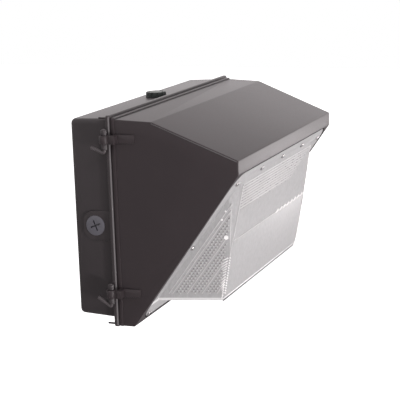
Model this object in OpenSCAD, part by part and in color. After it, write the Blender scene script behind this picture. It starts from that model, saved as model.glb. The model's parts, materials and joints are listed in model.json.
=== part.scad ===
// Wall pack light: a die-cast rear housing on the wall, and a hinged hood
// that carries a prismatic refractor, the light engine and its driver.
// X is the width, Y points into the wall (the wall face is y = 0) and Z is up.

/* [Door shell] */
// Width of the door body where it meets its flange
door_w = 360; // [330:1:400]
// How much narrower the door is at its lip
door_taper = 12; // [4:1:20]
// Height of the door body above the axis at its flange
root_top_h = 113.4; // [105:0.2:125]
// Depth of the brow edge from the wall
brow_depth = 99.3; // [85:0.2:115]
// Height of the brow edge
brow_h = 111.3; // [100:0.1:112.4]
// Depth of the lip from the wall
lip_depth = 196.6; // [180:0.2:215]
// Height of the upper edge of the lip
lip_top_h = 72; // [65:0.1:78]
// Height of the lip face
lip_face_h = 15.5; // [10:0.2:18]
// Depth of the lower end of the slanted opening
chin_depth = 70; // [64:0.1:74]
// Distance of the door's underside below the axis
chin_drop = 120.9; // [115:0.1:125]
// Wall thickness of the door casting
door_wall = 3; // [2.4:0.1:3.6]
// Radius of the outer edges of the door
door_edge_r = 2.8; // [1.5:0.1:3.5]

/* [Flanges] */
// Step from the door side out to the flange edge of the rear housing
flange_step = 3.2; // [2.4:0.1:4]
// Step from the door top up to the flange edge of the rear housing
flange_step_top = 4.3; // [3:0.1:5]
// Step from the door's underside down to the flange edge
flange_step_low = 0.9; // [0.5:0.1:1.5]
// Thickness of the flange of the rear housing
housing_flange_t = 4.8; // [4.2:0.1:6.5]
// Step from the door side out to the edge of its own flange
rim_step = 1; // [0.6:0.1:1.6]
// Step from the door top up to the edge of its own flange
rim_step_top = 1.6; // [1:0.1:2.4]
// Step from the door's underside down to the edge of its own flange
rim_step_low = 0.4; // [0.3:0.1:0.5]
// Thickness of the flange of the door
door_flange_t = 4.9; // [4.4:0.1:5.5]
// Gap between the two flanges when the door is shut
parting_gap = 0.3; // [0.3:0.05:0.5]
// Corner radius of the flange of the rear housing
flange_r = 6; // [4:0.5:9]
// Width of the ring that the door flange forms inside
flange_band = 12; // [11:0.5:14]

/* [Rear housing] */
// Depth of the rear box from the wall to its flange
box_depth = 47; // [43:0.1:52]
// Step from the box side out to the flange edge
box_step = 5.5; // [4.5:0.1:7]
// Step from the box top up to the flange edge
box_step_top = 4.1; // [3.8:0.1:5]
// Step from the box underside down to the flange edge
box_step_bottom = 8.8; // [7.6:0.1:9.4]
// Draft of each box side over its depth
box_draft = 2.3; // [1:0.1:3]
// Radius of the rear edges of the box
box_r = 5.5; // [4:0.1:7]
// Wall thickness of the rear housing
box_wall = 3; // [2.5:0.1:3.5]

/* [Wall fixing] */
// Distance between the wall screw holes along X
fixing_w = 280; // [250:1:290]
// Distance between the wall screw holes along Z
fixing_h = 150; // [130:1:160]
// Radius of a wall screw hole
fixing_r = 3.4; // [2.6:0.1:4]
// Distance between the two junction box slots
box_slot_pitch = 88.9; // [80:0.1:96]
// Width of a junction box slot
box_slot_w = 5.4; // [4.5:0.1:6]
// Length of a junction box slot, end to end
box_slot_l = 16; // [12:0.5:18]
// Radius of the rear wire entry
wire_entry_r = 11.1; // [9:0.1:12]
// Height of the wire entry and of the slots above the axis
wire_entry_h = 32; // [28:1:36]

/* [Conduit plugs] */
// Radius of the threaded part of a plug
plug_r = 10.4; // [9:0.1:11]
// Radius of the face of a plug
plug_head_r = 11.35; // [11.1:0.05:11.6]
// Length of a plug behind its face
plug_l = 12; // [9:0.5:14]
// Depth of the plug axis from the wall
plug_depth = 27.2; // [25:0.1:29]
// Distance of the plug axis below the axis of the box
plug_drop = 6.8; // [0:0.2:14]
// Half the height of the pad around a plug
pad_r = 17; // [15.5:0.1:18.5]
// How far the pad stands out of the box at its rear
pad_proud = 2.8; // [1.5:0.1:3.2]

/* [Hinge] */
// Radius of a hinge pin
pin_r = 1.9; // [1.5:0.1:2.2]
// Distance of the pin axis outside the flange edge
pin_offset = 5.6; // [5.4:0.1:6.6]
// Depth of the pin axis from the wall
pin_depth = 47.7; // [46.8:0.1:48.4]
// Height of a door knuckle
knuckle_h = 9.4; // [7:0.5:12]
// Outer radius of a door knuckle
knuckle_r = 5.2; // [4.4:0.1:5.2]
// Height of the centre of the upper hinge
hinge_top_h = 92.3; // [84:0.1:94]
// Distance of the centre of the lower hinge below the axis
hinge_low_drop = 81.4; // [78:0.1:88]
// Height of the housing lug above a knuckle
lug_top_h = 5.6; // [4:0.1:8]
// Height of the housing lug below a knuckle
lug_low_h = 6.2; // [4.4:0.1:9]
// Length of the strap that a knuckle forms on the door side
strap_l = 18.9; // [14:0.1:26]

/* [Closing screws] */
// Radius of a closing screw
closing_r = 2.4; // [2:0.1:2.8]
// Distance of the closing screws from the axis, up and down
closing_h = 80; // [70:1:88]
// Distance of a closing screw outside the flange edge
closing_offset = 4.8; // [4.5:0.1:6]
// Outer radius of the ears
ear_r = 6; // [5.5:0.1:7]
// Length of the ear on the door
ear_l = 8; // [6:0.5:10]

/* [Refractor] */
// Width of the lens flange
lens_w = 336.6; // [325:0.2:337]
// Distance of the top of the lens flange from the lip
lens_top_d = 2.4; // [2:0.1:4]
// Distance of the bottom of the lens flange from the chin
lens_low_inset = 5.15; // [4:0.05:8]
// Corner radius of the lens flange
lens_r = 22; // [16:1:24]
// Thickness of the lens flange
lens_flange_t = 3; // [2.4:0.1:3.6]
// Wall thickness of the lens bowl
lens_wall = 3; // [2.2:0.1:3.6]
// Gap around the lens flange in its pocket
lens_gap = 1.5; // [0.8:0.1:1.7]
// Depth of the lens face below the rim
lens_sink = 0.3; // [0.2:0.1:1]
// Thickness of the lens gasket
lens_gasket_t = 2; // [1.5:0.1:3]
// Distance of the top of the bowl from the lip
bowl_top_d = 19; // [18:0.5:22]
// Distance of the bottom of the bowl from the bottom of the lens flange
bowl_low_inset = 24; // [22.5:0.5:28]
// Rake of the bowl's front face from vertical
bowl_rake = 10.8; // [6:0.2:14]
// Width of the bowl at its base
bowl_base_w = 304; // [296:1:306]
// Width of the bowl across its front face
bowl_front_w = 278; // [260:1:284]
// Radius of the bowl's edges
bowl_edge_r = 4.5; // [3.2:0.1:6]
// Number of prism ribs across the upper front
rib_count = 9; // [5:1:12]
// Spacing of the prism ribs
rib_pitch = 3.9; // [3:0.1:4.5]

/* [Light engine] */
// Depth of the heat plate's face below the opening
plate_sink = 19; // [17.4:0.2:21]
// Thickness of the heat plate
plate_t = 3; // [2:0.1:4]
// Width of the heat plate
plate_w = 316; // [312:1:324]
// Length of an LED board
board_l = 250; // [220:1:256]
// Width of an LED board
board_w = 22; // [18:0.5:26]
// Spacing of the LED boards down the plate
board_pitch = 42; // [36:0.5:46]
// Number of LEDs on a board
led_count = 12; // [6:1:18]
// Length of the driver case
driver_l = 170; // [140:1:180]
// Width of the driver case
driver_w = 44; // [34:1:50]
// Height of the driver case
driver_h = 30; // [22:1:34]

/* [Photocell] */
// Radius of the photocell head
cell_r = 12.6; // [11.8:0.1:13.4]
// Height of the photocell head
cell_h = 4.4; // [3.4:0.1:6]
// Radius of the threaded neck
cell_neck_r = 7.8; // [6:0.1:8.4]
// Depth of the photocell axis from the wall
cell_depth = 28.1; // [25:0.1:31]

/* [Hidden] */

$fn = 48;
blend_fn = 24;
sides = [-1, 1];

// Overrun of every cut, a hair's gap, and the common fits
cut = 1;
hair = 0.02;
running_gap = 0.05;
axial_gap = 0.3;
screw_gap = 0.2;
swing_gap = 0.4;

// Flange outline and the planes that stack up from the wall
flange_w = door_w + 2 * flange_step;
flange_top = root_top_h + flange_step_top;
flange_low = chin_drop + flange_step_low;
flange_h = flange_top + flange_low;
flange_mid = (flange_top - flange_low) / 2;
rim_w = door_w + 2 * rim_step;
rim_top = root_top_h + rim_step_top;
rim_low = chin_drop + rim_step_low;
rim_h = rim_top + rim_low;
rim_mid = (rim_top - rim_low) / 2;
rim_r = door_edge_r + rim_step;
housing_front = box_depth + housing_flange_t;
root_depth = housing_front + parting_gap;
door_flange_front = root_depth + door_flange_t;

// Rear box
box_half_w = flange_w / 2 - box_step;
box_top = flange_top - box_step_top;
box_low = flange_low - box_step_bottom;
draft_z_share = 0.6;
arc_step = 15;
boss_r = 4;
boss_l = 6;
fixing_pad_share = 2.2;
fixing_pad_r = fixing_r * fixing_pad_share;
fixing_pad_t = 1.5;
tab_r = 0.8;
tab_l = 9;
tab_inset = 4;
tab_inset_z = 3.2;
ground_inset = 9;
ground_boss_x = box_half_w - box_draft - box_wall - ground_inset;
ground_boss_z = box_draft * draft_z_share + box_wall + ground_inset - box_low;

// Conduit plug
pad_face = box_half_w - box_draft + pad_proud;
pad_rear_share = 0.86;
hub_r = plug_r + box_wall;
plug_face_t = 1.2;
plug_face_proud = 0.8;
slot_w = 1.6;
slot_depth = 0.9;
slot_share = 0.56;
slot_turn = 22;
head_top_share = 0.7;
o_ring_t = 1;
o_ring_w = plug_head_r - plug_r - running_gap;

// Hinge and closing screws
pin_x = flange_w / 2 + pin_offset;
hinge_heights = [hinge_top_h, -hinge_low_drop];
lug_r = 3.2;
lug_web_t = 3;
pin_head_h = 1;
pin_foot_h = 1.8;
tail_back = 16;
tail_rise = 6;
strap_proud = 3.4;
strap_bury = 2;
arm_t = 3.4;
block_set = 2.9;
block_l = 5.8;
block_proud = 0.8;
closing_x = flange_w / 2 + closing_offset;
closing_head_share = 1.9;
closing_head_r = closing_r * closing_head_share;
closing_head_h = 3.2;
closing_tip = 2;
closing_slot_w = 1.2;
closing_slot_depth = 1.4;
ear_web_w = closing_offset + box_step + box_wall / 2;
housing_ear_l = 11;

// Door gasket
gasket_inset = 3.4;
gasket_w = 2.6;
gasket_depth = 2.4;
gasket_proud = 0.2;

// Slanted opening: its lower lip edge, tilt and length
lip_low_h = lip_top_h - lip_face_h;
tilt = atan2(lip_depth - chin_depth, lip_low_h + chin_drop);
opening_l = norm([lip_depth - chin_depth, lip_low_h + chin_drop]);
lens_low_d = opening_l - lens_low_inset;
bowl_low_d = lens_low_d - bowl_low_inset;
lens_l = lens_low_d - lens_top_d;
lens_mid_d = (lens_low_d + lens_top_d) / 2;
pocket_depth = lens_sink + lens_flange_t + lens_gasket_t;
ledge_t = 3;
ledge_depth = pocket_depth + ledge_t;
seal_w = 6;
seal_lap = 1;
aperture_inset = seal_w - seal_lap + lens_wall;
aperture_w = bowl_base_w - 2 * (lens_wall + seal_w - seal_lap);
aperture_top_d = bowl_top_d + aperture_inset;
aperture_low_d = bowl_low_d - aperture_inset;
aperture_l = aperture_low_d - aperture_top_d;
aperture_mid_d = (aperture_low_d + aperture_top_d) / 2;
aperture_r = 10;

// Lens screws, in rows along the lens flange
lens_screw_r = 1.7;
lens_head_r = 3.2;
lens_head_h = 1.8;
lens_screw_l = 12;
lens_boss_l = 9;
screw_edge = 10.9;
low_screw_edge = 6.2;
corner_drop = 4.3;
screw_pitch = 75.5;
side_screw_x = lens_w / 2 - screw_edge;
corner_low_x = side_screw_x - corner_drop;
top_row_d = lens_top_d + screw_edge;
low_row_d = lens_low_d - low_screw_edge;

// Prism ribs of the bowl
rib_w = rib_pitch / 2;
rib_proud = 0.7;
rib_start = 5;
rib_margin = 6;

// Light engine
plate_lap = 9;
plate_top_d = aperture_top_d - plate_lap;
plate_low_d = aperture_low_d + plate_lap;
plate_l = plate_low_d - plate_top_d;
plate_mid_d = (plate_low_d + plate_top_d) / 2;
plate_r = 6;
plate_back = plate_sink + plate_t;
post_r = 4;
post_edge = 6;
post_x = plate_w / 2 - post_edge;
post_inset = 28;
post_screw_r = 1.7;
post_screw_l = 9;
post_head_r = 3.4;
post_head_h = 2;
reflector_t = 0.8;
reflector_gap = 1.5;
reflector_w = aperture_w - 2 * reflector_gap;
reflector_l = aperture_l - 2 * reflector_gap;
reflector_r = aperture_r - reflector_gap;
reflector_rim_drop = 0.6;
board_t = 1.6;
board_gap = 1;
led_s = 3.5;
led_h = 0.8;
led_span_share = 0.86;
board_places = [1, 0, -1];
board_screw_r = 1.3;
board_head_r = 2.6;
board_head_h = 1.4;
board_screw_l = 4;
connector_l = 8;
connector_w = 7;
connector_h = 3.6;
connector_x = board_l / 2 - connector_l / 2;
lead_r = 0.9;
lead_hole_r = 4;
lead_x = board_l / 2 + 9;
lead_bury = 2;
lead_step = 5;
lead_rise = 9;
lead_depth = plate_back + lead_rise;
driver_x = -14;
driver_inset = 22;
driver_top_d = plate_top_d + driver_inset;
driver_mid_d = driver_top_d + driver_w / 2;
foot_l = 12;
foot_t = 2;
driver_edge_r = 3;
gear_screw_r = 1.8;
gear_head_r = 3.6;
gear_head_h = 2.2;
foot_share = 0.6;
surge_l = 44;
surge_w = 30;
surge_h = 24;
surge_gap = 10;
surge_share = 0.38;
surge_place = [-driver_l * surge_share, driver_top_d + driver_w + surge_w / 2 + surge_gap];
terminal_l = 46;
terminal_w = 20;
terminal_h = 15;
terminal_ways = 3;
terminal_x = 60;
terminal_clear = 8;
terminal_rows = lead_step * (terminal_ways + 1);
terminal_d = driver_top_d + driver_w + terminal_rows + terminal_clear + terminal_w / 2;
terminal_hole_r = 3;
terminal_base_t = 3;
terminal_screw_sink = 1;
terminal_screw_l = 3;

// Photocell
cell_gasket_t = 1;
cell_window_share = 0.68;
cell_window_r = cell_r * cell_window_share;
cell_window_h = 0.9;
cell_window_sink = 1;
cell_neck_l = 14;
cell_nut_r = 11;
cell_nut_h = 4;
cell_notches = 10;
cell_notch_w = 1.6;
cell_notch_depth = 0.8;
// The photocell stands on a flat spot faced into the drafted top of the box
cell_seat = box_top - box_draft * draft_z_share * (1 - (cell_depth - cell_r) / box_depth);

// Side outline of the door in depth and height, clockwise from the top of its root
door_outline = [
    [root_depth, root_top_h], [brow_depth, brow_h], [lip_depth, lip_top_h],
    [lip_depth, lip_low_h], [chin_depth, -chin_drop], [root_depth, -chin_drop]
];
door_walls = [door_wall, door_wall, door_wall, ledge_depth, door_wall, -cut];

function unit(v) = v / norm(v);

// Inward normal of edge i of a clockwise outline
function inward(p, i) =
    let (u = unit(p[(i + 1) % len(p)] - p[i])) [u[1], -u[0]];

// Corner i of an outline whose edges have each moved inward by their own distance
function inset_corner(p, t, i) =
    let (a = (i + len(p) - 1) % len(p), m = inward(p, a), n = inward(p, i), c = m * n)
    p[i] + (t[a] * (m - c * n) + t[i] * (n - c * m)) / (1 - c * c);
function inset(p, t) = [for (i = [0 : len(p) - 1]) inset_corner(p, t, i)];
function same(p, v) = [for (i = p) v];

// Half the width of the door at a depth from the wall
function door_half(depth) =
    (door_w - door_taper * (depth - root_depth) / (lip_depth - root_depth)) / 2;

// Depth and height of a point on the opening, a distance below the lip
function opening_point(d) = [lip_depth - d * sin(tilt), lip_low_h - d * cos(tilt)];

// Side outline of the bowl: the raked front, the level underside and the opening
bowl_a = opening_point(bowl_top_d);
bowl_c = opening_point(bowl_low_d);
bowl_b = [bowl_a[0] - (bowl_a[1] - bowl_c[1]) * tan(bowl_rake), bowl_c[1]];
bowl_outline = [bowl_a, bowl_b, bowl_c];

// Centres of the lens screws as x and distance below the lip
lens_screw_places = concat(
    [for (i = [-1 : 1], d = [top_row_d, low_row_d]) [i * screw_pitch, d]],
    [for (s = sides) [s * screw_pitch * 2, top_row_d + corner_drop]],
    [for (s = sides) [s * side_screw_x, lens_mid_d]],
    [for (s = sides) [s * corner_low_x, low_row_d]]
);
post_places = [
    for (s = sides, d = [plate_top_d + post_inset, plate_low_d - post_inset]) [s * post_x, d]
];

// Distance of an LED board from the lip: 1 is the upper board, -1 the lower
function board_d(i) = aperture_mid_d - i * board_pitch;
led_pitch = board_l * led_span_share / (led_count - 1);
board_screw_x = board_l * led_span_share / 2 - led_pitch / 2;
board_screw_places = [
    for (i = board_places, s = [-1 : 1]) [s * board_screw_x, board_d(i) + (s == 0 ? board_w / 4 : 0)]
];

// Screws that hold the driver, then those that hold the surge protector
gear_screw_places = concat(
    [for (s = sides) [driver_x + s * (driver_l + foot_l) / 2, driver_mid_d]],
    [for (s = sides) surge_place + [s * (surge_l + foot_l) / 2, 0]]
);

// Place across the light of one way of the terminal block
terminal_pitch = terminal_l / terminal_ways;
function way_x(j) = terminal_x + ((terminal_ways - 1) / 2 - j) * terminal_pitch;

module rounded_rect(w, h, r) {
    square([w - 2 * r, h], center = true);
    square([w, h - 2 * r], center = true);
    for (sx = sides, sy = sides)
        translate([sx * (w / 2 - r), sy * (h / 2 - r)]) circle(r = r);
}

module rounded_ring(w, h, r, band) {
    difference() {
        rounded_rect(w, h, r);
        rounded_rect(w - 2 * band, h - 2 * band, max(r - band, hair));
    }
}

// Puts a flat outline upright, centred at a height, from one depth to another
module upright(from, to, mid) {
    translate([0, -from, mid]) rotate([90, 0, 0])
        linear_extrude(height = to - from) children();
}

// Frame of the slanted opening: x across, y up the slope, z out of the light
module on_opening() {
    translate([0, -lip_depth, lip_low_h]) rotate([90 + tilt, 0, 0]) children();
}

// Frame of the bowl's front face: x across, y up the face, z out of the light
module on_bowl_face() {
    translate([0, -bowl_a[0], bowl_a[1]]) rotate([90 + bowl_rake, 0, 0]) children();
}

// Block across the light whose clockwise side outline has its own half width at each corner
module tapered_block(points, halves) {
    n = len(points);
    ends = [for (s = sides, i = [0 : n - 1]) [s * halves[i], -points[i][0], points[i][1]]];
    walls = [for (i = [0 : n - 1], j = [(i + 1) % n]) [j, i, i + n, j + n]];
    polyhedron(ends, concat([[for (i = [0 : n - 1]) i]], [[for (i = [1 : n]) 2 * n - i]], walls));
}

// Rod between two points
module rod(a, b, r) {
    v = b - a;
    translate(a) rotate([0, acos(v[2] / norm(v)), atan2(v[1], v[0])])
        cylinder(r = r, h = norm(v));
}

module bent_rod(points, r) {
    for (i = [0 : len(points) - 2]) rod(points[i], points[i + 1], r);
    for (i = [1 : len(points) - 2]) translate(points[i]) sphere(r = r);
}

// Pan head screw along -Z, with its head above z = 0
module pan_screw(r, l, head_r, head_h) {
    translate([0, 0, -l]) cylinder(r = r, h = l);
    difference() {
        union() {
            cylinder(r = head_r, h = head_h / 2);
            translate([0, 0, head_h / 2])
                cylinder(r1 = head_r, r2 = head_r * head_top_share, h = head_h / 2);
        }
        for (a = [0, 90]) rotate([0, 0, a])
            translate([0, 0, head_h])
                cube([head_r * slot_share * 2, r / 2, head_h], center = true);
    }
}

// Depth and reach of the box seen along one axis, with its draft and rounded rear corners
function box_outline(high, low, draft) =
    let (lost = draft * (1 - box_r / box_depth) + box_r, front = housing_front) concat(
        [for (a = [90 : arc_step : 180]) [box_r + box_r * cos(a), high - lost + box_r * sin(a)]],
        [for (a = [180 : arc_step : 270]) [box_r + box_r * cos(a), lost - low + box_r * sin(a)]],
        [[front, -low], [front, high]]
    );

module box_outer() {
    intersection() {
        rotate([90, 0, -90]) linear_extrude(height = flange_w, center = true)
            polygon(box_outline(box_top, box_low, box_draft * draft_z_share));
        rotate([0, 0, -90]) linear_extrude(height = 2 * flange_h, center = true)
            polygon(box_outline(box_half_w, box_half_w, box_draft));
        translate([0, 0, (box_top - box_low) / 2]) rotate([90, 0, 0])
            linear_extrude(height = housing_front)
                rounded_rect(2 * box_half_w, box_top + box_low, box_r);
    }
}

module box_cavity() {
    back_z = box_draft * draft_z_share + box_wall;
    front = housing_front + cut;
    tapered_block(
        [[box_wall, box_top - back_z], [front, box_top - box_wall],
         [front, box_wall - box_low], [box_wall, back_z - box_low]],
        [for (draft = [box_draft, 0, 0, box_draft]) box_half_w - draft - box_wall]
    );
}

// Space inside the box, round the bosses that stand in it
module box_interior() {
    difference() {
        box_cavity();
        for (s = sides) translate([s * (pad_face - plug_l - box_wall), -plug_depth, -plug_drop])
            rotate([0, s * 90, 0]) cylinder(r = hub_r, h = plug_l + box_wall);
        for (sx = sides, sz = sides)
            translate([sx * fixing_w / 2, 0, sz * fixing_h / 2]) rotate([90, 0, 0])
                cylinder(r = fixing_pad_r, h = box_wall + fixing_pad_t);
        translate([ground_boss_x, 0, ground_boss_z]) rotate([90, 0, 0])
            cylinder(r = boss_r, h = box_wall + boss_l);
    }
}

// Raised pad around the conduit entry on one side
module conduit_pad(s) {
    translate([s * (pad_face - box_wall), -plug_depth, -plug_drop]) rotate([0, s * 90, 0])
        linear_extrude(height = box_wall) {
            intersection() {
                circle(r = pad_r);
                translate([-pad_r, -pad_r]) square([2 * pad_r, pad_r * (1 + pad_rear_share)]);
            }
            translate([-pad_r, plug_depth - box_depth - cut])
                square([2 * pad_r, box_depth - plug_depth + cut]);
        }
}

module conduit_bore(s) {
    translate([s * (pad_face - plug_l - box_wall - cut), -plug_depth, -plug_drop])
        rotate([0, s * 90, 0])
            cylinder(r = plug_r + running_gap, h = plug_l + box_wall + 2 * cut);
    translate([s * (pad_face - o_ring_t - plug_face_t + plug_face_proud), -plug_depth, -plug_drop])
        rotate([0, s * 90, 0])
            cylinder(r = plug_head_r + running_gap, h = o_ring_t + plug_face_t + cut);
}

// Housing lugs above and below the door knuckle of one hinge
module hinge_lugs(h) {
    for (end = [[h + knuckle_h / 2 + axial_gap, lug_top_h],
                [h - knuckle_h / 2 - axial_gap - lug_low_h, lug_low_h]]) {
        translate([-pin_x, -pin_depth, end[0]]) cylinder(r = lug_r, h = end[1]);
        translate([-pin_x, -pin_depth - lug_web_t / 2, end[0]])
            cube([pin_offset + box_step + box_wall / 2, lug_web_t, end[1]]);
    }
}

module pin_bore(h) {
    translate([-pin_x, -pin_depth, h - knuckle_h - lug_low_h])
        cylinder(r = pin_r + running_gap, h = 2 * knuckle_h + lug_low_h + lug_top_h);
}

module ear(from, to) {
    for (s = sides) {
        translate([closing_x, -from, s * closing_h]) rotate([90, 0, 0])
            cylinder(r = ear_r, h = to - from);
        translate([closing_x - ear_web_w, -to, s * closing_h - ear_r])
            cube([ear_web_w, to - from, 2 * ear_r]);
    }
}

module ear_bores(from, to) {
    for (s = sides) translate([closing_x, -from + cut, s * closing_h]) rotate([90, 0, 0])
        cylinder(r = closing_r + swing_gap, h = to - from + 2 * cut);
}

module box_slot() {
    translate([0, cut, wire_entry_h]) rotate([90, 0, 0])
        linear_extrude(height = box_wall + 2 * cut) {
            square([box_slot_l - box_slot_w, box_slot_w], center = true);
            for (s = sides)
                translate([s * (box_slot_l - box_slot_w) / 2, 0]) circle(r = box_slot_w / 2);
        }
}

module rear_housing() {
    color([0.2, 0.19, 0.2]) difference() {
        union() {
            box_outer();
            upright(box_depth, housing_front, flange_mid) rounded_rect(flange_w, flange_h, flange_r);
            ear(housing_front - housing_ear_l, housing_front);
            for (h = hinge_heights) hinge_lugs(h);
            for (z = [flange_top - tab_inset_z, -flange_low + tab_inset_z])
                translate([-flange_w / 2 + tab_inset, -box_depth - cut, z])
                    rotate([-90, 0, 0]) cylinder(r = tab_r, h = tab_l + cut);
            for (s = sides) conduit_pad(s);
        }
        box_interior();
        for (s = sides) conduit_bore(s);
        for (h = hinge_heights) pin_bore(h);
        ear_bores(housing_front - housing_ear_l, housing_front);
        for (sx = sides, sz = sides)
            translate([sx * fixing_w / 2, cut, sz * fixing_h / 2]) rotate([90, 0, 0])
                cylinder(r = fixing_r, h = box_wall + fixing_pad_t + 2 * cut);
        for (s = sides) translate([s * box_slot_pitch / 2, 0, 0]) box_slot();
        translate([0, cut, wire_entry_h]) rotate([90, 0, 0])
            cylinder(r = wire_entry_r, h = box_wall + 2 * cut);
        translate([ground_boss_x, -box_wall - hair, ground_boss_z]) rotate([90, 0, 0])
            cylinder(r = gear_screw_r + running_gap, h = boss_l + cut);
        translate([0, -cell_depth, box_top - box_wall - box_draft - cut])
            cylinder(r = cell_neck_r + screw_gap, h = box_wall + box_draft + 2 * cut);
        translate([0, -cell_depth, cell_seat])
            cylinder(r = cell_r + screw_gap, h = box_draft + cut);
    }
}

// Plug in the side s, with its cross slot
module conduit_plug(s) {
    color([0.3, 0.3, 0.32])
    translate([s * (pad_face + plug_face_proud), -plug_depth, -plug_drop]) rotate([0, s * 90, 0])
        difference() {
            translate([0, 0, -plug_face_t]) {
                cylinder(r = plug_head_r, h = plug_face_t);
                translate([0, 0, -plug_l]) cylinder(r = plug_r, h = plug_l);
            }
            for (a = [0, 90]) rotate([0, 0, slot_turn + a])
                cube([plug_head_r * slot_share * 2, slot_w, 2 * slot_depth], center = true);
        }
}

module plug_o_rings() {
    color([0.08, 0.08, 0.08]) for (s = sides)
        translate([s * (pad_face + plug_face_proud - plug_face_t), -plug_depth, -plug_drop])
            rotate([0, -s * 90, 0]) linear_extrude(height = o_ring_t) difference() {
                circle(r = plug_r + o_ring_w);
                circle(r = plug_r + running_gap);
            }
}

module photocell_body() {
    color([0.16, 0.16, 0.17]) translate([0, -cell_depth, cell_seat + cell_gasket_t]) difference() {
        union() {
            cylinder(r = cell_r, h = cell_h);
            translate([0, 0, -cell_neck_l]) cylinder(r = cell_neck_r, h = cell_neck_l);
        }
        translate([0, 0, cell_h - cell_window_sink])
            cylinder(r = cell_window_r + running_gap, h = cell_window_sink + cut);
        for (i = [0 : cell_notches - 1]) rotate([0, 0, i * 360 / cell_notches])
            translate([cell_r - cell_notch_depth, -cell_notch_w / 2, cell_h / 2])
                cube([cell_notch_depth + cut, cell_notch_w, cell_h]);
    }
}

module photocell_window() {
    color([0.6, 0.62, 0.62])
    translate([0, -cell_depth, cell_seat + cell_gasket_t + cell_h - cell_window_sink])
        cylinder(r = cell_window_r, h = cell_window_h);
}

module photocell_gasket() {
    color([0.08, 0.08, 0.08]) translate([0, -cell_depth, cell_seat])
        linear_extrude(height = cell_gasket_t) difference() {
            circle(r = cell_r);
            circle(r = cell_neck_r + running_gap);
        }
}

module photocell_nut() {
    color([0.75, 0.75, 0.76])
    translate([0, -cell_depth, box_top - box_wall - box_draft * draft_z_share - cell_nut_h])
        linear_extrude(height = cell_nut_h) difference() {
            circle(r = cell_nut_r, $fn = 6);
            circle(r = cell_neck_r + running_gap);
        }
}

module ground_screw() {
    color([0.2, 0.45, 0.25])
    translate([ground_boss_x, -box_wall - boss_l, ground_boss_z]) rotate([90, 0, 0])
        pan_screw(gear_screw_r, boss_l - hair, gear_head_r, gear_head_h);
}

// Wire pin with its foot bent back and up as a pull tail
module hinge_pin(h) {
    top = h + knuckle_h / 2 + axial_gap + lug_top_h + pin_head_h;
    foot = h - knuckle_h / 2 - axial_gap - lug_low_h - pin_foot_h;
    color([0.3, 0.29, 0.3]) bent_rod([
        [-pin_x, -pin_depth, top], [-pin_x, -pin_depth, foot - pin_r],
        [-pin_x, tail_back - pin_depth, foot - pin_r + tail_rise]
    ], pin_r);
}

module door_body() {
    points = inset(door_outline, same(door_outline, door_edge_r));
    hull() for (s = sides, p = points)
        translate([s * (door_half(p[0]) - door_edge_r), -p[0], p[1]])
            sphere(r = door_edge_r, $fn = blend_fn);
    upright(root_depth, door_flange_front, rim_mid) rounded_rect(rim_w, rim_h, rim_r);
}

module door_cavity() {
    points = inset(door_outline, door_walls);
    tapered_block(points, [for (p = points) door_half(p[0]) - door_wall]);
}

// Knuckle, arm and strap that the door casting forms at one hinge
module hinge_arm(h) {
    low = h - knuckle_h / 2;
    side = door_half(root_depth);
    strap_start = root_depth + block_set + block_l;
    translate([-pin_x, -pin_depth, low]) cylinder(r = knuckle_r, h = knuckle_h);
    translate([-pin_x - arm_t / 2, -door_flange_front, low])
        cube([arm_t, door_flange_front - pin_depth, knuckle_h]);
    translate([-pin_x - arm_t / 2 - block_proud, -strap_start, low])
        cube([pin_x + arm_t / 2 + block_proud - side + strap_bury, block_l, knuckle_h]);
    translate([-side - strap_proud, -strap_start - strap_l, low])
        cube([strap_proud + strap_bury, strap_l + cut, knuckle_h]);
}

module knuckle_bore(h) {
    translate([-pin_x, -pin_depth, h - knuckle_h])
        cylinder(r = pin_r + running_gap, h = 2 * knuckle_h);
}

// Ring of the door gasket, drawn in from its groove by a clearance
module gasket_path(clear) {
    margin = gasket_inset - gasket_w / 2 + clear;
    rounded_ring(rim_w - 2 * margin, rim_h - 2 * margin, rim_r - margin, gasket_w - 2 * clear);
}

module front_door() {
    color([0.29, 0.28, 0.28]) difference() {
        union() {
            difference() {
                door_body();
                door_cavity();
            }
            upright(root_depth, door_flange_front, rim_mid)
                rounded_ring(rim_w, rim_h, rim_r, flange_band);
            on_opening() {
                for (p = lens_screw_places) translate([p[0], -p[1], -ledge_depth - lens_boss_l])
                    cylinder(r = boss_r, h = lens_boss_l + ledge_t / 2);
                for (p = post_places) translate([p[0], -p[1], -plate_sink])
                    cylinder(r = post_r, h = plate_sink - ledge_depth + ledge_t / 2);
            }
            for (h = hinge_heights) hinge_arm(h);
            ear(root_depth, root_depth + ear_l);
        }
        on_opening() {
            translate([0, -lens_mid_d, -pocket_depth]) linear_extrude(height = pocket_depth + cut)
                rounded_rect(lens_w + 2 * lens_gap, lens_l + 2 * lens_gap, lens_r + lens_gap);
            translate([0, -aperture_mid_d, -ledge_depth - cut])
                linear_extrude(height = ledge_t + 2 * cut)
                    rounded_rect(aperture_w, aperture_l, aperture_r);
            for (p = lens_screw_places) translate([p[0], -p[1], -lens_sink - lens_screw_l - cut])
                cylinder(r = lens_screw_r + running_gap, h = lens_screw_l + cut);
            for (p = post_places) translate([p[0], -p[1], -plate_sink - cut])
                cylinder(r = post_screw_r + running_gap, h = post_screw_l - plate_t + 2 * cut);
        }
        for (h = hinge_heights) knuckle_bore(h);
        ear_bores(root_depth, root_depth + ear_l);
        upright(root_depth - cut, root_depth + gasket_depth, rim_mid) gasket_path(0);
    }
}

module door_gasket() {
    color([0.1, 0.1, 0.1])
        upright(root_depth - gasket_proud, root_depth + gasket_depth, rim_mid)
            gasket_path(running_gap);
}

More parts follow.
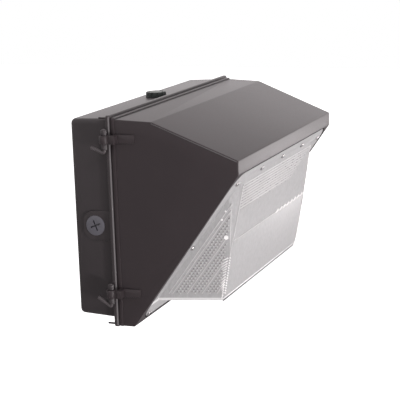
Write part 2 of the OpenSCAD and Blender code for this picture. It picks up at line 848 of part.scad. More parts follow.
// Captive screw that shuts the door, with a slotted head
module closing_screw(h) {
    shank = ear_l + parting_gap + housing_ear_l - closing_tip;
    color([0.7, 0.7, 0.71]) translate([closing_x, -root_depth - ear_l, h]) rotate([90, 0, 0]) {
        translate([0, 0, -shank]) cylinder(r = closing_r, h = shank);
        difference() {
            cylinder(r = closing_head_r, h = closing_head_h);
            translate([0, 0, closing_head_h])
                cube([2 * closing_head_r + cut, closing_slot_w, 2 * closing_slot_depth], center = true);
        }
    }
}

module bowl_body() {
    points = inset(bowl_outline, same(bowl_outline, bowl_edge_r));
    hull() {
        for (s = sides, i = [0, 1])
            translate([s * (bowl_front_w / 2 - bowl_edge_r), -points[i][0], points[i][1]])
                sphere(r = bowl_edge_r, $fn = blend_fn);
        on_opening() translate([0, 0, -lens_sink - lens_flange_t / 2])
            linear_extrude(height = lens_flange_t / 2) polygon([
                [-bowl_front_w / 2, -bowl_top_d], [bowl_front_w / 2, -bowl_top_d],
                [bowl_base_w / 2, -bowl_low_d], [-bowl_base_w / 2, -bowl_low_d]
            ]);
    }
}

module bowl_cavity() {
    front = bowl_front_w / 2 - lens_wall;
    tapered_block(
        inset(bowl_outline, [lens_wall, lens_wall, -lens_sink - lens_flange_t - cut]),
        [front, front, bowl_base_w / 2 - lens_wall]
    );
}

module refractor_lens() {
    color([0.8, 0.8, 0.79, 0.6]) difference() {
        union() {
            on_opening() translate([0, -lens_mid_d, -lens_sink - lens_flange_t])
                linear_extrude(height = lens_flange_t) rounded_rect(lens_w, lens_l, lens_r);
            bowl_body();
            on_bowl_face() for (i = [0 : rib_count - 1])
                translate([0, -rib_start - i * rib_pitch, 0])
                    cube([bowl_front_w - 2 * rib_margin, rib_w, 2 * rib_proud], center = true);
        }
        bowl_cavity();
        on_opening() for (p = lens_screw_places)
            translate([p[0], -p[1], -lens_sink - lens_flange_t - cut])
                cylinder(r = lens_screw_r + screw_gap, h = lens_flange_t + 2 * cut);
    }
}

module lens_gasket() {
    color([0.15, 0.15, 0.15]) on_opening() translate([0, -aperture_mid_d, -pocket_depth])
        linear_extrude(height = lens_gasket_t) rounded_ring(
            aperture_w + 2 * (seal_lap + seal_w), aperture_l + 2 * (seal_lap + seal_w),
            aperture_r + seal_lap + seal_w, seal_w
        );
}

module lens_screws() {
    color([0.8, 0.8, 0.8]) on_opening() for (p = lens_screw_places)
        translate([p[0], -p[1], -lens_sink])
            pan_screw(lens_screw_r, lens_screw_l, lens_head_r, lens_head_h);
}

module lead_holes(r, from, t) {
    for (i = board_places) translate([-lead_x, -board_d(i), from]) cylinder(r = r, h = t);
}

// White tray around the LED boards, up to the opening
module reflector() {
    color([0.93, 0.93, 0.92]) on_opening() translate([0, -aperture_mid_d, -plate_sink]) {
        linear_extrude(height = reflector_t) difference() {
            rounded_rect(reflector_w, reflector_l, reflector_r);
            for (i = board_places) translate([0, i * board_pitch])
                square([board_l + 2 * board_gap, board_w + 2 * board_gap], center = true);
            for (i = board_places) translate([-lead_x, i * board_pitch]) circle(r = lead_hole_r);
        }
        linear_extrude(height = plate_sink - pocket_depth - reflector_rim_drop)
            rounded_ring(reflector_w, reflector_l, reflector_r, reflector_t);
    }
}

module heat_plate() {
    color([0.75, 0.76, 0.77]) on_opening() difference() {
        translate([0, -plate_mid_d, -plate_back]) linear_extrude(height = plate_t)
            rounded_rect(plate_w, plate_l, plate_r);
        translate([0, 0, -plate_back - cut]) {
            for (p = post_places) translate([p[0], -p[1], 0])
                cylinder(r = post_screw_r + screw_gap, h = plate_t + 2 * cut);
            for (p = board_screw_places) translate([p[0], -p[1], 0])
                cylinder(r = board_screw_r + running_gap, h = plate_t + 2 * cut);
            for (p = gear_screw_places) translate([p[0], -p[1], 0])
                cylinder(r = gear_screw_r + running_gap, h = plate_t + 2 * cut);
            lead_holes(lead_hole_r, 0, plate_t + 2 * cut);
        }
    }
}

// Screws driven towards the opening from a face some depth below it
module rear_screws(places, depth, r, l, head_r, head_h) {
    on_opening() for (p = places) translate([p[0], -p[1], -depth]) rotate([180, 0, 0])
        pan_screw(r, l, head_r, head_h);
}

module heat_plate_screws() {
    color([0.72, 0.72, 0.73])
        rear_screws(post_places, plate_back, post_screw_r, post_screw_l, post_head_r, post_head_h);
}

module led_board(i) {
    color([0.9, 0.9, 0.88]) on_opening() difference() {
        translate([0, -board_d(i), -plate_sink]) linear_extrude(height = board_t)
            rounded_rect(board_l, board_w, board_gap);
        for (p = board_screw_places) translate([p[0], -p[1], -plate_sink - cut])
            cylinder(r = board_screw_r + running_gap, h = board_t + 2 * cut);
    }
}

module led_chips() {
    color([0.95, 0.85, 0.35]) on_opening() for (i = board_places, n = [0 : led_count - 1])
        translate([(n - (led_count - 1) / 2) * led_pitch, -board_d(i), -plate_sink + board_t])
            linear_extrude(height = led_h) square(led_s, center = true);
}

module board_connectors() {
    color([0.95, 0.95, 0.95]) on_opening() for (i = board_places)
        translate([-connector_x, -board_d(i), -plate_sink + board_t])
            linear_extrude(height = connector_h) square([connector_l, connector_w], center = true);
}

module board_screws() {
    color([0.78, 0.78, 0.79]) on_opening() for (p = board_screw_places)
        translate([p[0], -p[1], -plate_sink + board_t])
            pan_screw(board_screw_r, board_screw_l, board_head_r, board_head_h);
}

// Potted case with a screw foot at each end, standing on the back of the heat plate
module potted_case(place, l, w, h) {
    on_opening() translate([place[0], -place[1], -plate_back]) difference() {
        union() {
            translate([0, 0, -h]) linear_extrude(height = h) rounded_rect(l, w, driver_edge_r);
            translate([0, 0, -foot_t]) linear_extrude(height = foot_t)
                rounded_rect(l + 2 * foot_l, w * foot_share, driver_edge_r);
        }
        for (s = sides) translate([s * (l + foot_l) / 2, 0, -foot_t - cut])
            cylinder(r = gear_screw_r + screw_gap, h = foot_t + 2 * cut);
    }
}

module led_driver() {
    color([0.85, 0.85, 0.84])
        potted_case([driver_x, driver_mid_d], driver_l, driver_w, driver_h);
}

module surge_protector() {
    color([0.2, 0.3, 0.5]) potted_case(surge_place, surge_l, surge_w, surge_h);
}

module driver_screws() {
    color([0.72, 0.72, 0.73]) rear_screws([gear_screw_places[0], gear_screw_places[1]],
        plate_back + foot_t, gear_screw_r, foot_t + plate_t - hair, gear_head_r, gear_head_h);
}

module surge_screws() {
    color([0.72, 0.72, 0.73]) rear_screws([gear_screw_places[2], gear_screw_places[3]],
        plate_back + foot_t, gear_screw_r, foot_t + plate_t - hair, gear_head_r, gear_head_h);
}

module terminal_block() {
    color([0.88, 0.87, 0.82]) on_opening() difference() {
        translate([terminal_x, -terminal_d, -plate_back - terminal_h])
            linear_extrude(height = terminal_h) rounded_rect(terminal_l, terminal_w, board_gap);
        for (j = [0 : terminal_ways - 1]) {
            translate([way_x(j), -terminal_d, -plate_back - terminal_h - cut])
                cylinder(r = terminal_hole_r, h = terminal_h - terminal_base_t + cut);
            translate([way_x(j), -terminal_d - terminal_w / 2 - cut, -lead_depth])
                rotate([-90, 0, 0]) cylinder(r = lead_r + running_gap, h = terminal_w + 2 * cut);
        }
    }
}

module terminal_screws() {
    color([0.7, 0.7, 0.71]) on_opening() for (j = [0 : terminal_ways - 1])
        translate([way_x(j), -terminal_d, -plate_back - terminal_h + terminal_screw_sink])
            rotate([180, 0, 0]) difference() {
                translate([0, 0, -terminal_screw_l])
                    cylinder(r = terminal_hole_r - running_gap, h = terminal_screw_l);
                cube([2 * terminal_hole_r, closing_slot_w, closing_slot_w], center = true);
            }
}

// Leads from the driver's end, through the heat plate, to the three boards
module led_leads() {
    color([0.75, 0.1, 0.1]) on_opening() for (k = [0 : len(board_places) - 1]) {
        d = board_d(board_places[k]);
        front = -plate_sink + board_t + connector_h / 2;
        back = -plate_back - lead_step * (k + 1);
        bent_rod([
            [-board_l / 2, -d, front], [-lead_x, -d, front], [-lead_x, -d, back],
            [-lead_x, -driver_top_d - lead_step, back],
            [driver_x - driver_l / 2, -driver_top_d - lead_step, back]
        ], lead_r);
    }
}

// Leads from the driver's other end to the ways of the terminal block
module driver_leads() {
    right = driver_x + driver_l / 2;
    low = driver_top_d + driver_w;
    color([0.15, 0.15, 0.15]) on_opening() for (j = [0 : terminal_ways - 1]) {
        exit_d = driver_top_d + lead_step * (2 * j + 1);
        column_x = right + foot_l + lead_step * (terminal_ways - j);
        row_d = low + lead_step * (terminal_ways + 1 - j);
        bent_rod([
            [right, -exit_d, -lead_depth], [column_x, -exit_d, -lead_depth],
            [column_x, -row_d, -lead_depth], [way_x(j), -row_d, -lead_depth],
            [way_x(j), -terminal_d + terminal_hole_r + lead_bury, -lead_depth]
        ], lead_r);
    }
}

rear_housing();
conduit_plug(-1);  // conduit_plug_left
conduit_plug(1);  // conduit_plug_right
plug_o_rings();
photocell_body();
photocell_window();
photocell_gasket();
photocell_nut();
ground_screw();
hinge_pin(hinge_heights[0]);  // hinge_pin_upper
hinge_pin(hinge_heights[1]);  // hinge_pin_lower
front_door();
door_gasket();
closing_screw(closing_h);  // closing_screw_upper
closing_screw(-closing_h);  // closing_screw_lower
refractor_lens();
lens_gasket();
lens_screws();
reflector();
heat_plate();
heat_plate_screws();
led_board(board_places[0]);  // led_board_upper
led_board(board_places[1]);  // led_board_middle
led_board(board_places[2]);  // led_board_lower
led_chips();
board_connectors();
board_screws();
led_driver();
driver_screws();
surge_protector();
surge_screws();
terminal_block();
terminal_screws();
led_leads();
driver_leads();
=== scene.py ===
import json
import math

import bmesh
import bpy
from mathutils import Matrix, Vector


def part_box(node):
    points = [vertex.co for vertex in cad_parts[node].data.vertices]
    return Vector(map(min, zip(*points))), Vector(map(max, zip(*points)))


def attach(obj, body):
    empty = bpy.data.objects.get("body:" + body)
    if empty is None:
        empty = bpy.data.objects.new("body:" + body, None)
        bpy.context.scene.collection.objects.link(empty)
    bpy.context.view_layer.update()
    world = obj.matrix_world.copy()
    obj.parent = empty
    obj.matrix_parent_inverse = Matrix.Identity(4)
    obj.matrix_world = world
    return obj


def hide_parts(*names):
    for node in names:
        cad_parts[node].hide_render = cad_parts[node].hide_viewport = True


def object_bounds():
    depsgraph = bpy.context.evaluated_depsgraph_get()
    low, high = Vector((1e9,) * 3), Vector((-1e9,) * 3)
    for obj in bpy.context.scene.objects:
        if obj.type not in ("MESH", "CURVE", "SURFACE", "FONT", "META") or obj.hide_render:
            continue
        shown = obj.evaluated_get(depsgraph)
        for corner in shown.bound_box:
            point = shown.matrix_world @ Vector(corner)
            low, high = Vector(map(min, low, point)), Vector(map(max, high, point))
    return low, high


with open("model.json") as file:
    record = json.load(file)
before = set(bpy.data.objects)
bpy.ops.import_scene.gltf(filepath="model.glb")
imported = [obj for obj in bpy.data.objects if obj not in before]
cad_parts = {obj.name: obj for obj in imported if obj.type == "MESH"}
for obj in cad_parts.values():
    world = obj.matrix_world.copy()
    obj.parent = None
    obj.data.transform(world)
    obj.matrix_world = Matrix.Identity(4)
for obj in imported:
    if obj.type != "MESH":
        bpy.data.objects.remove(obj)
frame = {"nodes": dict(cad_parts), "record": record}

cad_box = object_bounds()

# Every size below is in millimetres, as in the part's source. Angles are in radians.
MM = 0.001
SIDES = (-1, 1)
HANDS = ((-1, "left"), (1, "right"))

# Allowances of the drawing: off a shared plane, past what a tool cuts, into a joined wall,
# room for cutting planes, and the usual rounding of an edge. What lies nearer to a plane
# than SAME, in metres, lies on it.
NUDGE = 0.02
PAST = 1
BITE = 2
SPARE = 5
SOFT = 0.5
SAME = 0.00005

# The hood in depth from the wall and height, clockwise from the top of its root
ROOT_DEPTH = 52.1
ROOT_TOP = 113.4
BROW = (99.3, 111.3)
LIP_DEPTH = 196.6
LIP_TOP = 72
LIP_LOW = 56.5
CHIN_DEPTH = 70
CHIN = -120.9
HOOD_HALF = 180
LIP_HALF = 174
HOOD_WALL = 3
HOOD_EDGE = 1.2
OPENING_EDGE = 0.7
BEAD_R = 0.5
BEAD_DROP = 1.7
BEAD_END = (LIP_DEPTH - 1.5, LIP_TOP + 0.6)

# The flange of the hood and the flange of the rear housing
RIM_HALF = 181
RIM_TOP = 115
RIM_LOW = -121.3
RIM_FRONT = 57
RIM_BAND = 12
RIM_R = 2.6
RIM_EDGE = 0.85
RIM_INNER_R = 1
FLANGE_HALF = 183.2
FLANGE_TOP = 117.7
FLANGE_LOW = -121.8
FLANGE_FRONT = 51.8
FLANGE_R = 3.6
FLANGE_EDGE = 1.2

# The box of the rear housing
BOX_DEPTH = 47
BOX_HALF = 177.7
BOX_TOP = 113.6
BOX_LOW = -113
BOX_DRAFT = 2.3
BOX_DRAFT_Z = 1.38
BOX_R = 5.5
BOX_WALL = 3
TAB_R = 1.1
TAB_L = 9
TAB_INSET = 4
TAB_INSET_Z = 3.2
TAB_EDGE = 0.2

# Rear wall: holes for wall screws, slots for a junction box, wire entry and photocell
WALL_SCREW_X = 140
WALL_SCREW_Z = 75
WALL_SCREW_R = 3.4
WALL_BOSS_T = 1.5
WALL_BOSS_R = 7.5
WALL_BORE_L = 9
SLOT_X = 44.45
SLOT_HALF = 5.3
SLOT_R = 2.7
ENTRY_H = 32
ENTRY_R = 11.1
PHOTOCELL_DEPTH = 28.1
PHOTOCELL_BORE = (100, 120)  # from and to, in height
PHOTOCELL_BORE_R = 8

# Conduit entries in the sides
PLUG_DEPTH = 27.2
PLUG_DROP = -6.8
PLUG_R = 10.4
PLUG_HEAD_R = 11.35
PLUG_L = 12
PLUG_FACE_T = 1.2
PLUG_EDGE = 0.4
CORE_END = 6
CORE_BITE = 0.2
CORE_INSET = 0.6
SHANK_START = 5
SHANK_INSET = 0.45
PLUG_SINK = 2.2
PLUG_FIT = 0.05
PAD_R = 17
PAD_T = 3
PAD_EDGE = 0.5
PAD_SHARE = 0.86
PAD_FACE = 178.2
PLUG_FACE = 179
HUB_WALL = 3
HUB_BORE = (160, 184)  # from and to, in x
CROSS_HALF = (6.3, 0.8)
CROSS_FLOOR = -4.5
CROSS_EDGE = 0.6
CROSS_TURN = math.radians(22)
THREADS = 8
THREAD_START = 2.4
THREAD_PITCH = 1.25
THREAD_T = 0.45
THREAD_FALL = 0.5

# Hinges on the left and closing ears on the right
PIN_X = -188.8
PIN_DEPTH = 47.7
PIN_R = 1.9
PIN_FIT = 0.05
PIN_BEND = 3
BEND_STEPS = 8
PIN_TOP = 1
PIN_FOOT = 1.8
KNUCKLE_BORE = 9
LUG_BORE = 20
WEB_HALF = 1.3
WEB_INSET = 0.1
WEB_EDGE = 0.25
KNUCKLE_R = 5.2
KNUCKLE_H = 9.4
KNUCKLE_EDGE = 0.6
HINGES = (92.3, -81.4)
LUG_R = 3.2
LUG_TOP_H = 5.6
LUG_LOW_H = 6.2
LUG_GAP = 0.3
LUG_EDGE = 0.4
ARM_T = 3.4
ARM_EDGE = 0.4
BLOCK_START = 55
BLOCK_END = 60.8
STRAP_END = 79.7
STRAP_PROUD = 3.4
STRAP_BITE = 2.3
STRAP_TIP_T = 0.2
STRAP_TAPER = 0.13
BLOCK_PROUD = 0.8
BLOCK_EDGE = 0.6
TAIL_BACK = 16
TAIL_RISES = (6, 10)
CLOSING_X = 188
CLOSING_H = 80
CLOSING_R = 2.4
CLOSING_FIT = 0.4
CLOSING_BORE_END = 38
CLOSING_HEAD_R = 4.56
CLOSING_HEAD_H = 3.2
CLOSING_TURN = 0.5
EAR_R = 6
EAR_L = 8
HOUSING_EAR_L = 11

# Screw heads, as shares of their radius or height
CROWN_SHARE = 0.86
DOME_SHARE = 0.4
TIP_SHARE = 0.3
RECESS_SHARE = 0.3
FLOOR_SHARE = 0.45
CROSS_SHARE = 0.62
SLOT_SHARE = 1.2

# The slanted opening and the refractor in it
LENS_HALF = 168.3
LENS_TOP_D = 2.4
SEEN_HALF = 167.6
SEEN_TOP_D = 3.1
LENS_R = 22
LENS_SINK = 0.3
LENS_FLANGE_T = 3
LENS_EDGE = 0.6
LENS_WALL = 3
LENS_GAP = 1.5
POCKET = 5.3
POCKET_TOOL = 4
LEDGE = 8.3
BOSS_L = 9
BOSS_BITE = 1.5
BOSS_R = 4
SCREW_INSET = 10.9
SCREW_LOW_INSET = 6.2
SCREW_STEP = 4.3
SCREW_PITCH = 75.5
SCREW_HOLE_R = 2.2
LENS_SCREW_R = 1.65
LENS_SCREW_L = 11.8
LENS_HEAD_R = 3.2
LENS_HEAD_H = 1.8
LENS_SCREW_TURN = 0.7
SEAL_PLAY = 0.15
SEAL_SLACK = 0.1
SEAL_FACE = -0.4
SEAL_INSET = 4
SEAL_LOW_INSET = 3
SEAL_HOLE_R = 2.6
SEAL_TOOL = 8
BOWL_TOP_D = 19
BOWL_RAKE = math.radians(10.8)
BOWL_FRONT_HALF = 139
BOWL_LOW_HALF = 132
BOWL_BASE_HALF = 152
LENS_LOW_INSET = 5.15
BOWL_LOW_INSET = 24
BOWL_LOW_R = 3.4
BOWL_INNER_R = 1
CORNER_SHARE = 0.62
CORNER_BACK = 8.5
CORNER_IN = 13
CORNER_R = 3
APERTURE_INSET = 8
APERTURE_R = 10

# Relief on the refractor's front
RIB_COUNT = 9
RIB_PITCH = 3.4
RIB_TOP = 5.3
RIB_INSET = 12
RIB_FADE = 8
RIB_SINK = 0.2
RIB_R = (0.85, 0.4)
GROOVE_SINK = 0.3
GROOVE_R = (0.75, 0.5)
GROOVE_ENDS = (1, 4)
STEP_D = 69.5
STEP_R = 0.42
STEP_PROUD = 0.15
PANEL_INSET = 3
PANEL_RISE = 5
PANEL_SINK = 0.4
PANEL_PROUD = 0.35
PANEL_R = 1.2
PANEL_EDGE = 0.3
LOW_LINE_RISE = 3.4
LOW_LINE_R = 0.6
LINE_PROUD = 0.1
TEETH = 8
TOOTH_INSET = 8
TOOTH_L = 7
TOOTH_PITCH = 14
TOOTH_R = (0.4, 1.3)
# Both ends of a tooth: back from its place, below the step, proud of the front
TOOTH_ENDS = ((TOOTH_L, 1.6, LINE_PROUD), (0, -1.8, 0.3))
SHADE_INSET = 2.6
SHADE_RISE = 0.4
SHADE_SINK = 1.5
SHADE_R = 1.6

# Relief on the refractor's sides; shares run down the edge between side and front
PRISM_ROWS = 16
ROW_START = 6
ROW_PITCH = 3.4
ROW_INSET = 13
ROW_ENDS = 24
LINE_ROWS = (0, 1, 5, 9, 13)
LINE_R = 0.4
PRISM_PITCH = 1.9
PRISM_SINK = 0.3
PRISM_H = 0.9
PRISM_R = (1.25, 0.3)
RIDGE_SHARE = 0.3
CORNER_LINE_GAP = 1
CORNER_LINE_R = (0.5, 0.35)
CORNER_LINE_SHARE = 0.06
FAN_COUNT = 15
FAN_SHARE = CORNER_SHARE - 0.01
FAN_STEP_SHARE = 0.0225
FAN_INSET = 3.2
FAN_L = 6.5
FAN_WAVE = 2
FAN_TURN = 0.9
FAN_RISE = 4
FAN_RISE_STEP = 0.35
FAN_R = (0.95, 0.3)
EDGE_STEP_SHARE = 0.0215
EDGE_INSET = 0.7
EDGE_L = 2
EDGE_R = (1, 0.5)
# Share down the edge, distance back from it, and radius
FLATS = ((0.36, 16, 2.8), (0.112, 33, 1.2), (0.08, 26.5, 1))
FLAT_H = 0.5
FLAT_FOOT = 0.4
# Light prisms and lines are painted highlight, dark prisms are painted shade, and glints are
# painted highlight.
PRISM_FINISH = {"prisms": "prism_light", "shades": "prism_dark", "glints": "prism_white"}

# Photocell on top of the box
CAP_RISE = 1.4
CAP_TAPER = 0.5
CAP_EDGE = 0.6
NECK_R = 7.8
NECK_BITE = 0.5
NOTCHES = 12
NOTCH_R = 1.3
NOTCH_FLOOR = 1.4
WELL = 1
WINDOW_R = 8.4
WINDOW_GAP = 0.3
WINDOW_SINK = 0.1
WINDOW_TAPER = 0.4
WINDOW_EDGE = 0.4

# Looks: where the painted highlights on the housing's flange and on the refractor's low edge fade,
# and the studio's light
HIGHLIGHT_FADE = 0.3
BAND_TOP = (3.6, 4.3)
BAND_LOW = (-1.5, -0.5)
ROOM_LIGHT = 0.38
ROOM_GLOSS = 1.95

TILT = math.atan2(LIP_DEPTH - CHIN_DEPTH, LIP_LOW - CHIN)
OPENING_L = math.hypot(LIP_DEPTH - CHIN_DEPTH, LIP_LOW - CHIN)
LENS_LOW_D = OPENING_L - LENS_LOW_INSET
BOWL_LOW_D = LENS_LOW_D - BOWL_LOW_INSET


def opening_frame():
    """X across, y up the slope of the opening, z out of the light."""
    return (Matrix.Translation(Vector((0, -LIP_DEPTH, LIP_LOW)) * MM)
            @ Matrix.Rotation(math.pi / 2 + TILT, 4, "X"))


def on_opening(x, down, out=0):
    """A point on the opening, a distance below the lip and out of it, in millimetres."""
    return (opening_frame() @ (Vector((x, -down, out)) * MM)) / MM


def bowl_points():
    """Depth and height of the bowl's corners: top front, low front and low rear."""
    top, rear = on_opening(0, BOWL_TOP_D), on_opening(0, BOWL_LOW_D)
    a, c = (-top.y, top.z), (-rear.y, rear.z)
    return a, (a[0] - (a[1] - c[1]) * math.tan(BOWL_RAKE), c[1]), c


# Modelling by hand

def active(obj):
    bpy.ops.object.select_all(action="DESELECT")
    obj.select_set(True)
    bpy.context.view_layer.objects.active = obj


def settle(name):
    """Names the new primitive and puts its place into its mesh."""
    obj = bpy.context.object
    obj.name = name
    obj.data.name = name
    bpy.ops.object.transform_apply(location=True, rotation=True, scale=True)
    return obj


def block(name, low, high):
    bpy.ops.object.select_all(action="DESELECT")
    low, high = Vector(low) * MM, Vector(high) * MM
    bpy.ops.mesh.primitive_cube_add(size=1, location=(low + high) / 2, scale=high - low)
    return settle(name)


def rod(name, start, end, r, end_r=None, sides=48):
    """Round bar or taper between two points."""
    bpy.ops.object.select_all(action="DESELECT")
    start, end = Vector(start) * MM, Vector(end) * MM
    turn = (end - start).to_track_quat("Z", "Y").to_euler()
    bpy.ops.mesh.primitive_cone_add(
        vertices=sides, radius1=r * MM, radius2=(r if end_r is None else end_r) * MM,
        depth=(end - start).length, location=(start + end) / 2, rotation=turn)
    return settle(name)


def slice_off(obj, point, normal):
    """Cuts away what lies beyond a plane and closes the cut."""
    active(obj)
    bpy.ops.object.mode_set(mode="EDIT")
    bpy.ops.mesh.select_all(action="SELECT")
    bpy.ops.mesh.bisect(plane_co=Vector(point) * MM, plane_no=normal, use_fill=True,
                        clear_outer=True)
    bpy.ops.object.mode_set(mode="OBJECT")


def round_edges(obj, width, segments=3, angle=12):
    active(obj)
    bevel = obj.modifiers.new("edges", "BEVEL")
    bevel.width = width * MM
    bevel.segments = segments
    bevel.limit_method = "ANGLE"
    bevel.angle_limit = math.radians(angle)
    bpy.ops.object.modifier_apply(modifier=bevel.name)


def round_chosen(obj, width, segments, chosen):
    """Rounds the edges that a test on their two ends picks."""
    active(obj)
    bpy.ops.object.mode_set(mode="EDIT")
    bpy.ops.mesh.select_mode(type="EDGE")
    bpy.ops.mesh.select_all(action="DESELECT")
    mesh = bmesh.from_edit_mesh(obj.data)
    for edge in mesh.edges:
        if chosen(*(v.co / MM for v in edge.verts)):
            edge.select_set(True)
    bmesh.update_edit_mesh(obj.data)
    bpy.ops.mesh.bevel(offset=width * MM, segments=segments, affect="EDGES")
    bpy.ops.object.mode_set(mode="OBJECT")


def combine(obj, tool, operation):
    active(obj)
    boolean = obj.modifiers.new("shape", "BOOLEAN")
    boolean.operation = operation
    boolean.object = tool
    boolean.solver = "EXACT"
    bpy.ops.object.modifier_apply(modifier=boolean.name)
    bpy.data.objects.remove(tool)


def weld(obj, tool):
    combine(obj, tool, "UNION")


def cut(obj, tool):
    combine(obj, tool, "DIFFERENCE")


def face_out(obj):
    active(obj)
    bpy.ops.object.mode_set(mode="EDIT")
    bpy.ops.mesh.select_all(action="SELECT")
    bpy.ops.mesh.normals_make_consistent(inside=False)
    bpy.ops.object.mode_set(mode="OBJECT")


def join(name, parts):
    bpy.ops.object.select_all(action="DESELECT")
    for part in parts:
        part.select_set(True)
    bpy.context.view_layer.objects.active = parts[0]
    bpy.ops.object.join()
    parts[0].name = name
    parts[0].data.name = name
    return parts[0]


def copy_at(obj, name, matrix):
    """A copy with its own mesh, moved in its mesh."""
    twin = bpy.data.objects.new(name, obj.data.copy())
    bpy.context.scene.collection.objects.link(twin)
    twin.data.transform(matrix)
    return twin


def finish_piece(obj, material, body, slot, *nodes, smooth=35):
    """Gives a piece its finish, its body and the nodes that it replaces. The slot is not used."""
    active(obj)
    obj.data.materials.clear()
    obj.data.materials.append(material)
    bpy.ops.object.shade_smooth_by_angle(angle=math.radians(smooth))
    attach(obj, body)
    if nodes:
        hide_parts(*nodes)


def rounded_panel(name, half, low, high, back, front, r, matrix=None, segments=8):
    """Plate with four round corners: x across, y from low to high, z from back to front."""
    plate = block(name, (-half, low, back), (half, high, front))
    round_chosen(plate, r, segments, lambda a, b: abs(a.z - b.z) > 0.5 * (front - back))
    if matrix:
        plate.data.transform(matrix)
    return plate


def wall_plate(name, half, low, high, rear, front, r):
    """Upright rounded plate, from a depth to a depth further from the wall."""
    upright = Matrix.Rotation(math.pi / 2, 4, "X")
    return rounded_panel(name, half, low, high, rear, front, r, upright)


# Materials, each with its own grain

def new_material(name, colour, roughness, **sockets):
    finish = bpy.data.materials.new(name)
    finish.use_nodes = True
    shader = finish.node_tree.nodes["Principled BSDF"]
    shader.inputs["Base Color"].default_value = (*colour, 1)
    shader.inputs["Roughness"].default_value = roughness
    for socket, value in sockets.items():
        shader.inputs[socket.replace("_", " ")].default_value = value
    return finish


def add(finish, kind, **values):
    node = finish.node_tree.nodes.new("ShaderNode" + kind)
    for name, value in values.items():
        if name in node.inputs:
            node.inputs[name].default_value = value
        else:
            setattr(node, name, value)
    return node


def link(finish, source, target):
    finish.node_tree.links.new(source, target)


def shader_of(finish):
    return finish.node_tree.nodes["Principled BSDF"]


def noise(finish, scale, detail=3, stretch=(1, 1, 1)):
    """Noise on the piece's own coordinates, scale in features per metre."""
    where = add(finish, "TexCoord")
    mapping = add(finish, "Mapping")
    mapping.inputs["Scale"].default_value = stretch
    link(finish, where.outputs["Object"], mapping.inputs["Vector"])
    texture = add(finish, "TexNoise", Scale=scale, Detail=detail)
    link(finish, mapping.outputs["Vector"], texture.inputs["Vector"])
    return texture.outputs["Fac"]


def spread(finish, value, low, high, start=0.35, stop=0.65):
    """Maps a noise value onto a range."""
    node = add(finish, "MapRange")
    for name, number in (("From Min", start), ("From Max", stop), ("To Min", low),
                         ("To Max", high)):
        node.inputs[name].default_value = number
    link(finish, value, node.inputs["Value"])
    return node.outputs["Result"]


def mottle(finish, scale, dark, light, stretch=(1, 1, 1), detail=3):
    """Lets the colour drift between two shades."""
    mix = add(finish, "Mix", data_type="RGBA")
    mix.inputs[6].default_value = (*dark, 1)
    mix.inputs[7].default_value = (*light, 1)
    link(finish, spread(finish, noise(finish, scale, detail, stretch), 0, 1), mix.inputs[0])
    link(finish, mix.outputs[2], shader_of(finish).inputs["Base Color"])
    return mix.outputs[2]


def vary_gloss(finish, scale, low, high):
    link(finish, spread(finish, noise(finish, scale), low, high),
         shader_of(finish).inputs["Roughness"])


def grain(finish, scale, strength, height, stretch=(1, 1, 1), detail=2):
    """Fine relief, height in millimetres."""
    bump = add(finish, "Bump", Strength=strength, Distance=height * MM)
    link(finish, noise(finish, scale, detail, stretch), bump.inputs["Height"])
    link(finish, bump.outputs["Normal"], shader_of(finish).inputs["Normal"])


def shade(colour, share):
    return tuple(channel * share for channel in colour)


def powder_coat(name, colour, roughness=0.46):
    """Dark bronze powder coat with a faint orange peel."""
    finish = new_material(name, colour, roughness, Specular_IOR_Level=0.21)
    mottle(finish, 14, shade(colour, 0.95), shade(colour, 1.05))
    vary_gloss(finish, 500, roughness - 0.01, roughness + 0.01)
    grain(finish, 700, 0.04, 0.02)
    return finish


def flange_edge_highlight(finish, colour):
    """Painted highlight: paler colour on the rounded front edge of the housing's flange, on its
    left side.
    """
    coat = shader_of(finish).inputs["Base Color"]
    where = add(finish, "TexCoord")
    place = add(finish, "SeparateXYZ")
    link(finish, where.outputs["Object"], place.inputs["Vector"])
    line = add(finish, "Math", operation="MULTIPLY")
    for i, (axis, edge) in enumerate((("X", FLANGE_HALF), ("Y", FLANGE_FRONT))):
        start = (FLANGE_EDGE - edge) * MM
        link(finish, spread(finish, place.outputs[axis], 1, 0, start, start + HIGHLIGHT_FADE * MM),
             line.inputs[i])
    mix = add(finish, "Mix", data_type="RGBA")
    mix.inputs[7].default_value = (*colour, 1)
    link(finish, line.outputs[0], mix.inputs[0])
    link(finish, coat.links[0].from_socket, mix.inputs[6])
    link(finish, mix.outputs[2], coat)
    return finish


def moulded_plastic(name, colour, roughness=0.4, level=0.5):
    finish = new_material(name, colour, roughness, Specular_IOR_Level=level)
    mottle(finish, 40, shade(colour, 0.93), shade(colour, 1.06))
    vary_gloss(finish, 150, roughness - 0.05, roughness + 0.06)
    grain(finish, 2200, 0.15, 0.04)
    return finish


def bare_metal(name, colour, roughness=0.28, stretch=(1, 1, 1)):
    finish = new_material(name, colour, roughness, Metallic=1.0)
    mottle(finish, 90, shade(colour, 0.86), colour, stretch)
    vary_gloss(finish, 260, roughness - 0.08, roughness + 0.1)
    grain(finish, 1500, 0.1, 0.03, stretch)
    return finish


def rubber(name, colour, level=0.35):
    finish = new_material(name, colour, 0.6, Specular_IOR_Level=level)
    mottle(finish, 120, shade(colour, 0.8), shade(colour, 1.15))
    grain(finish, 1800, 0.3, 0.08)
    return finish


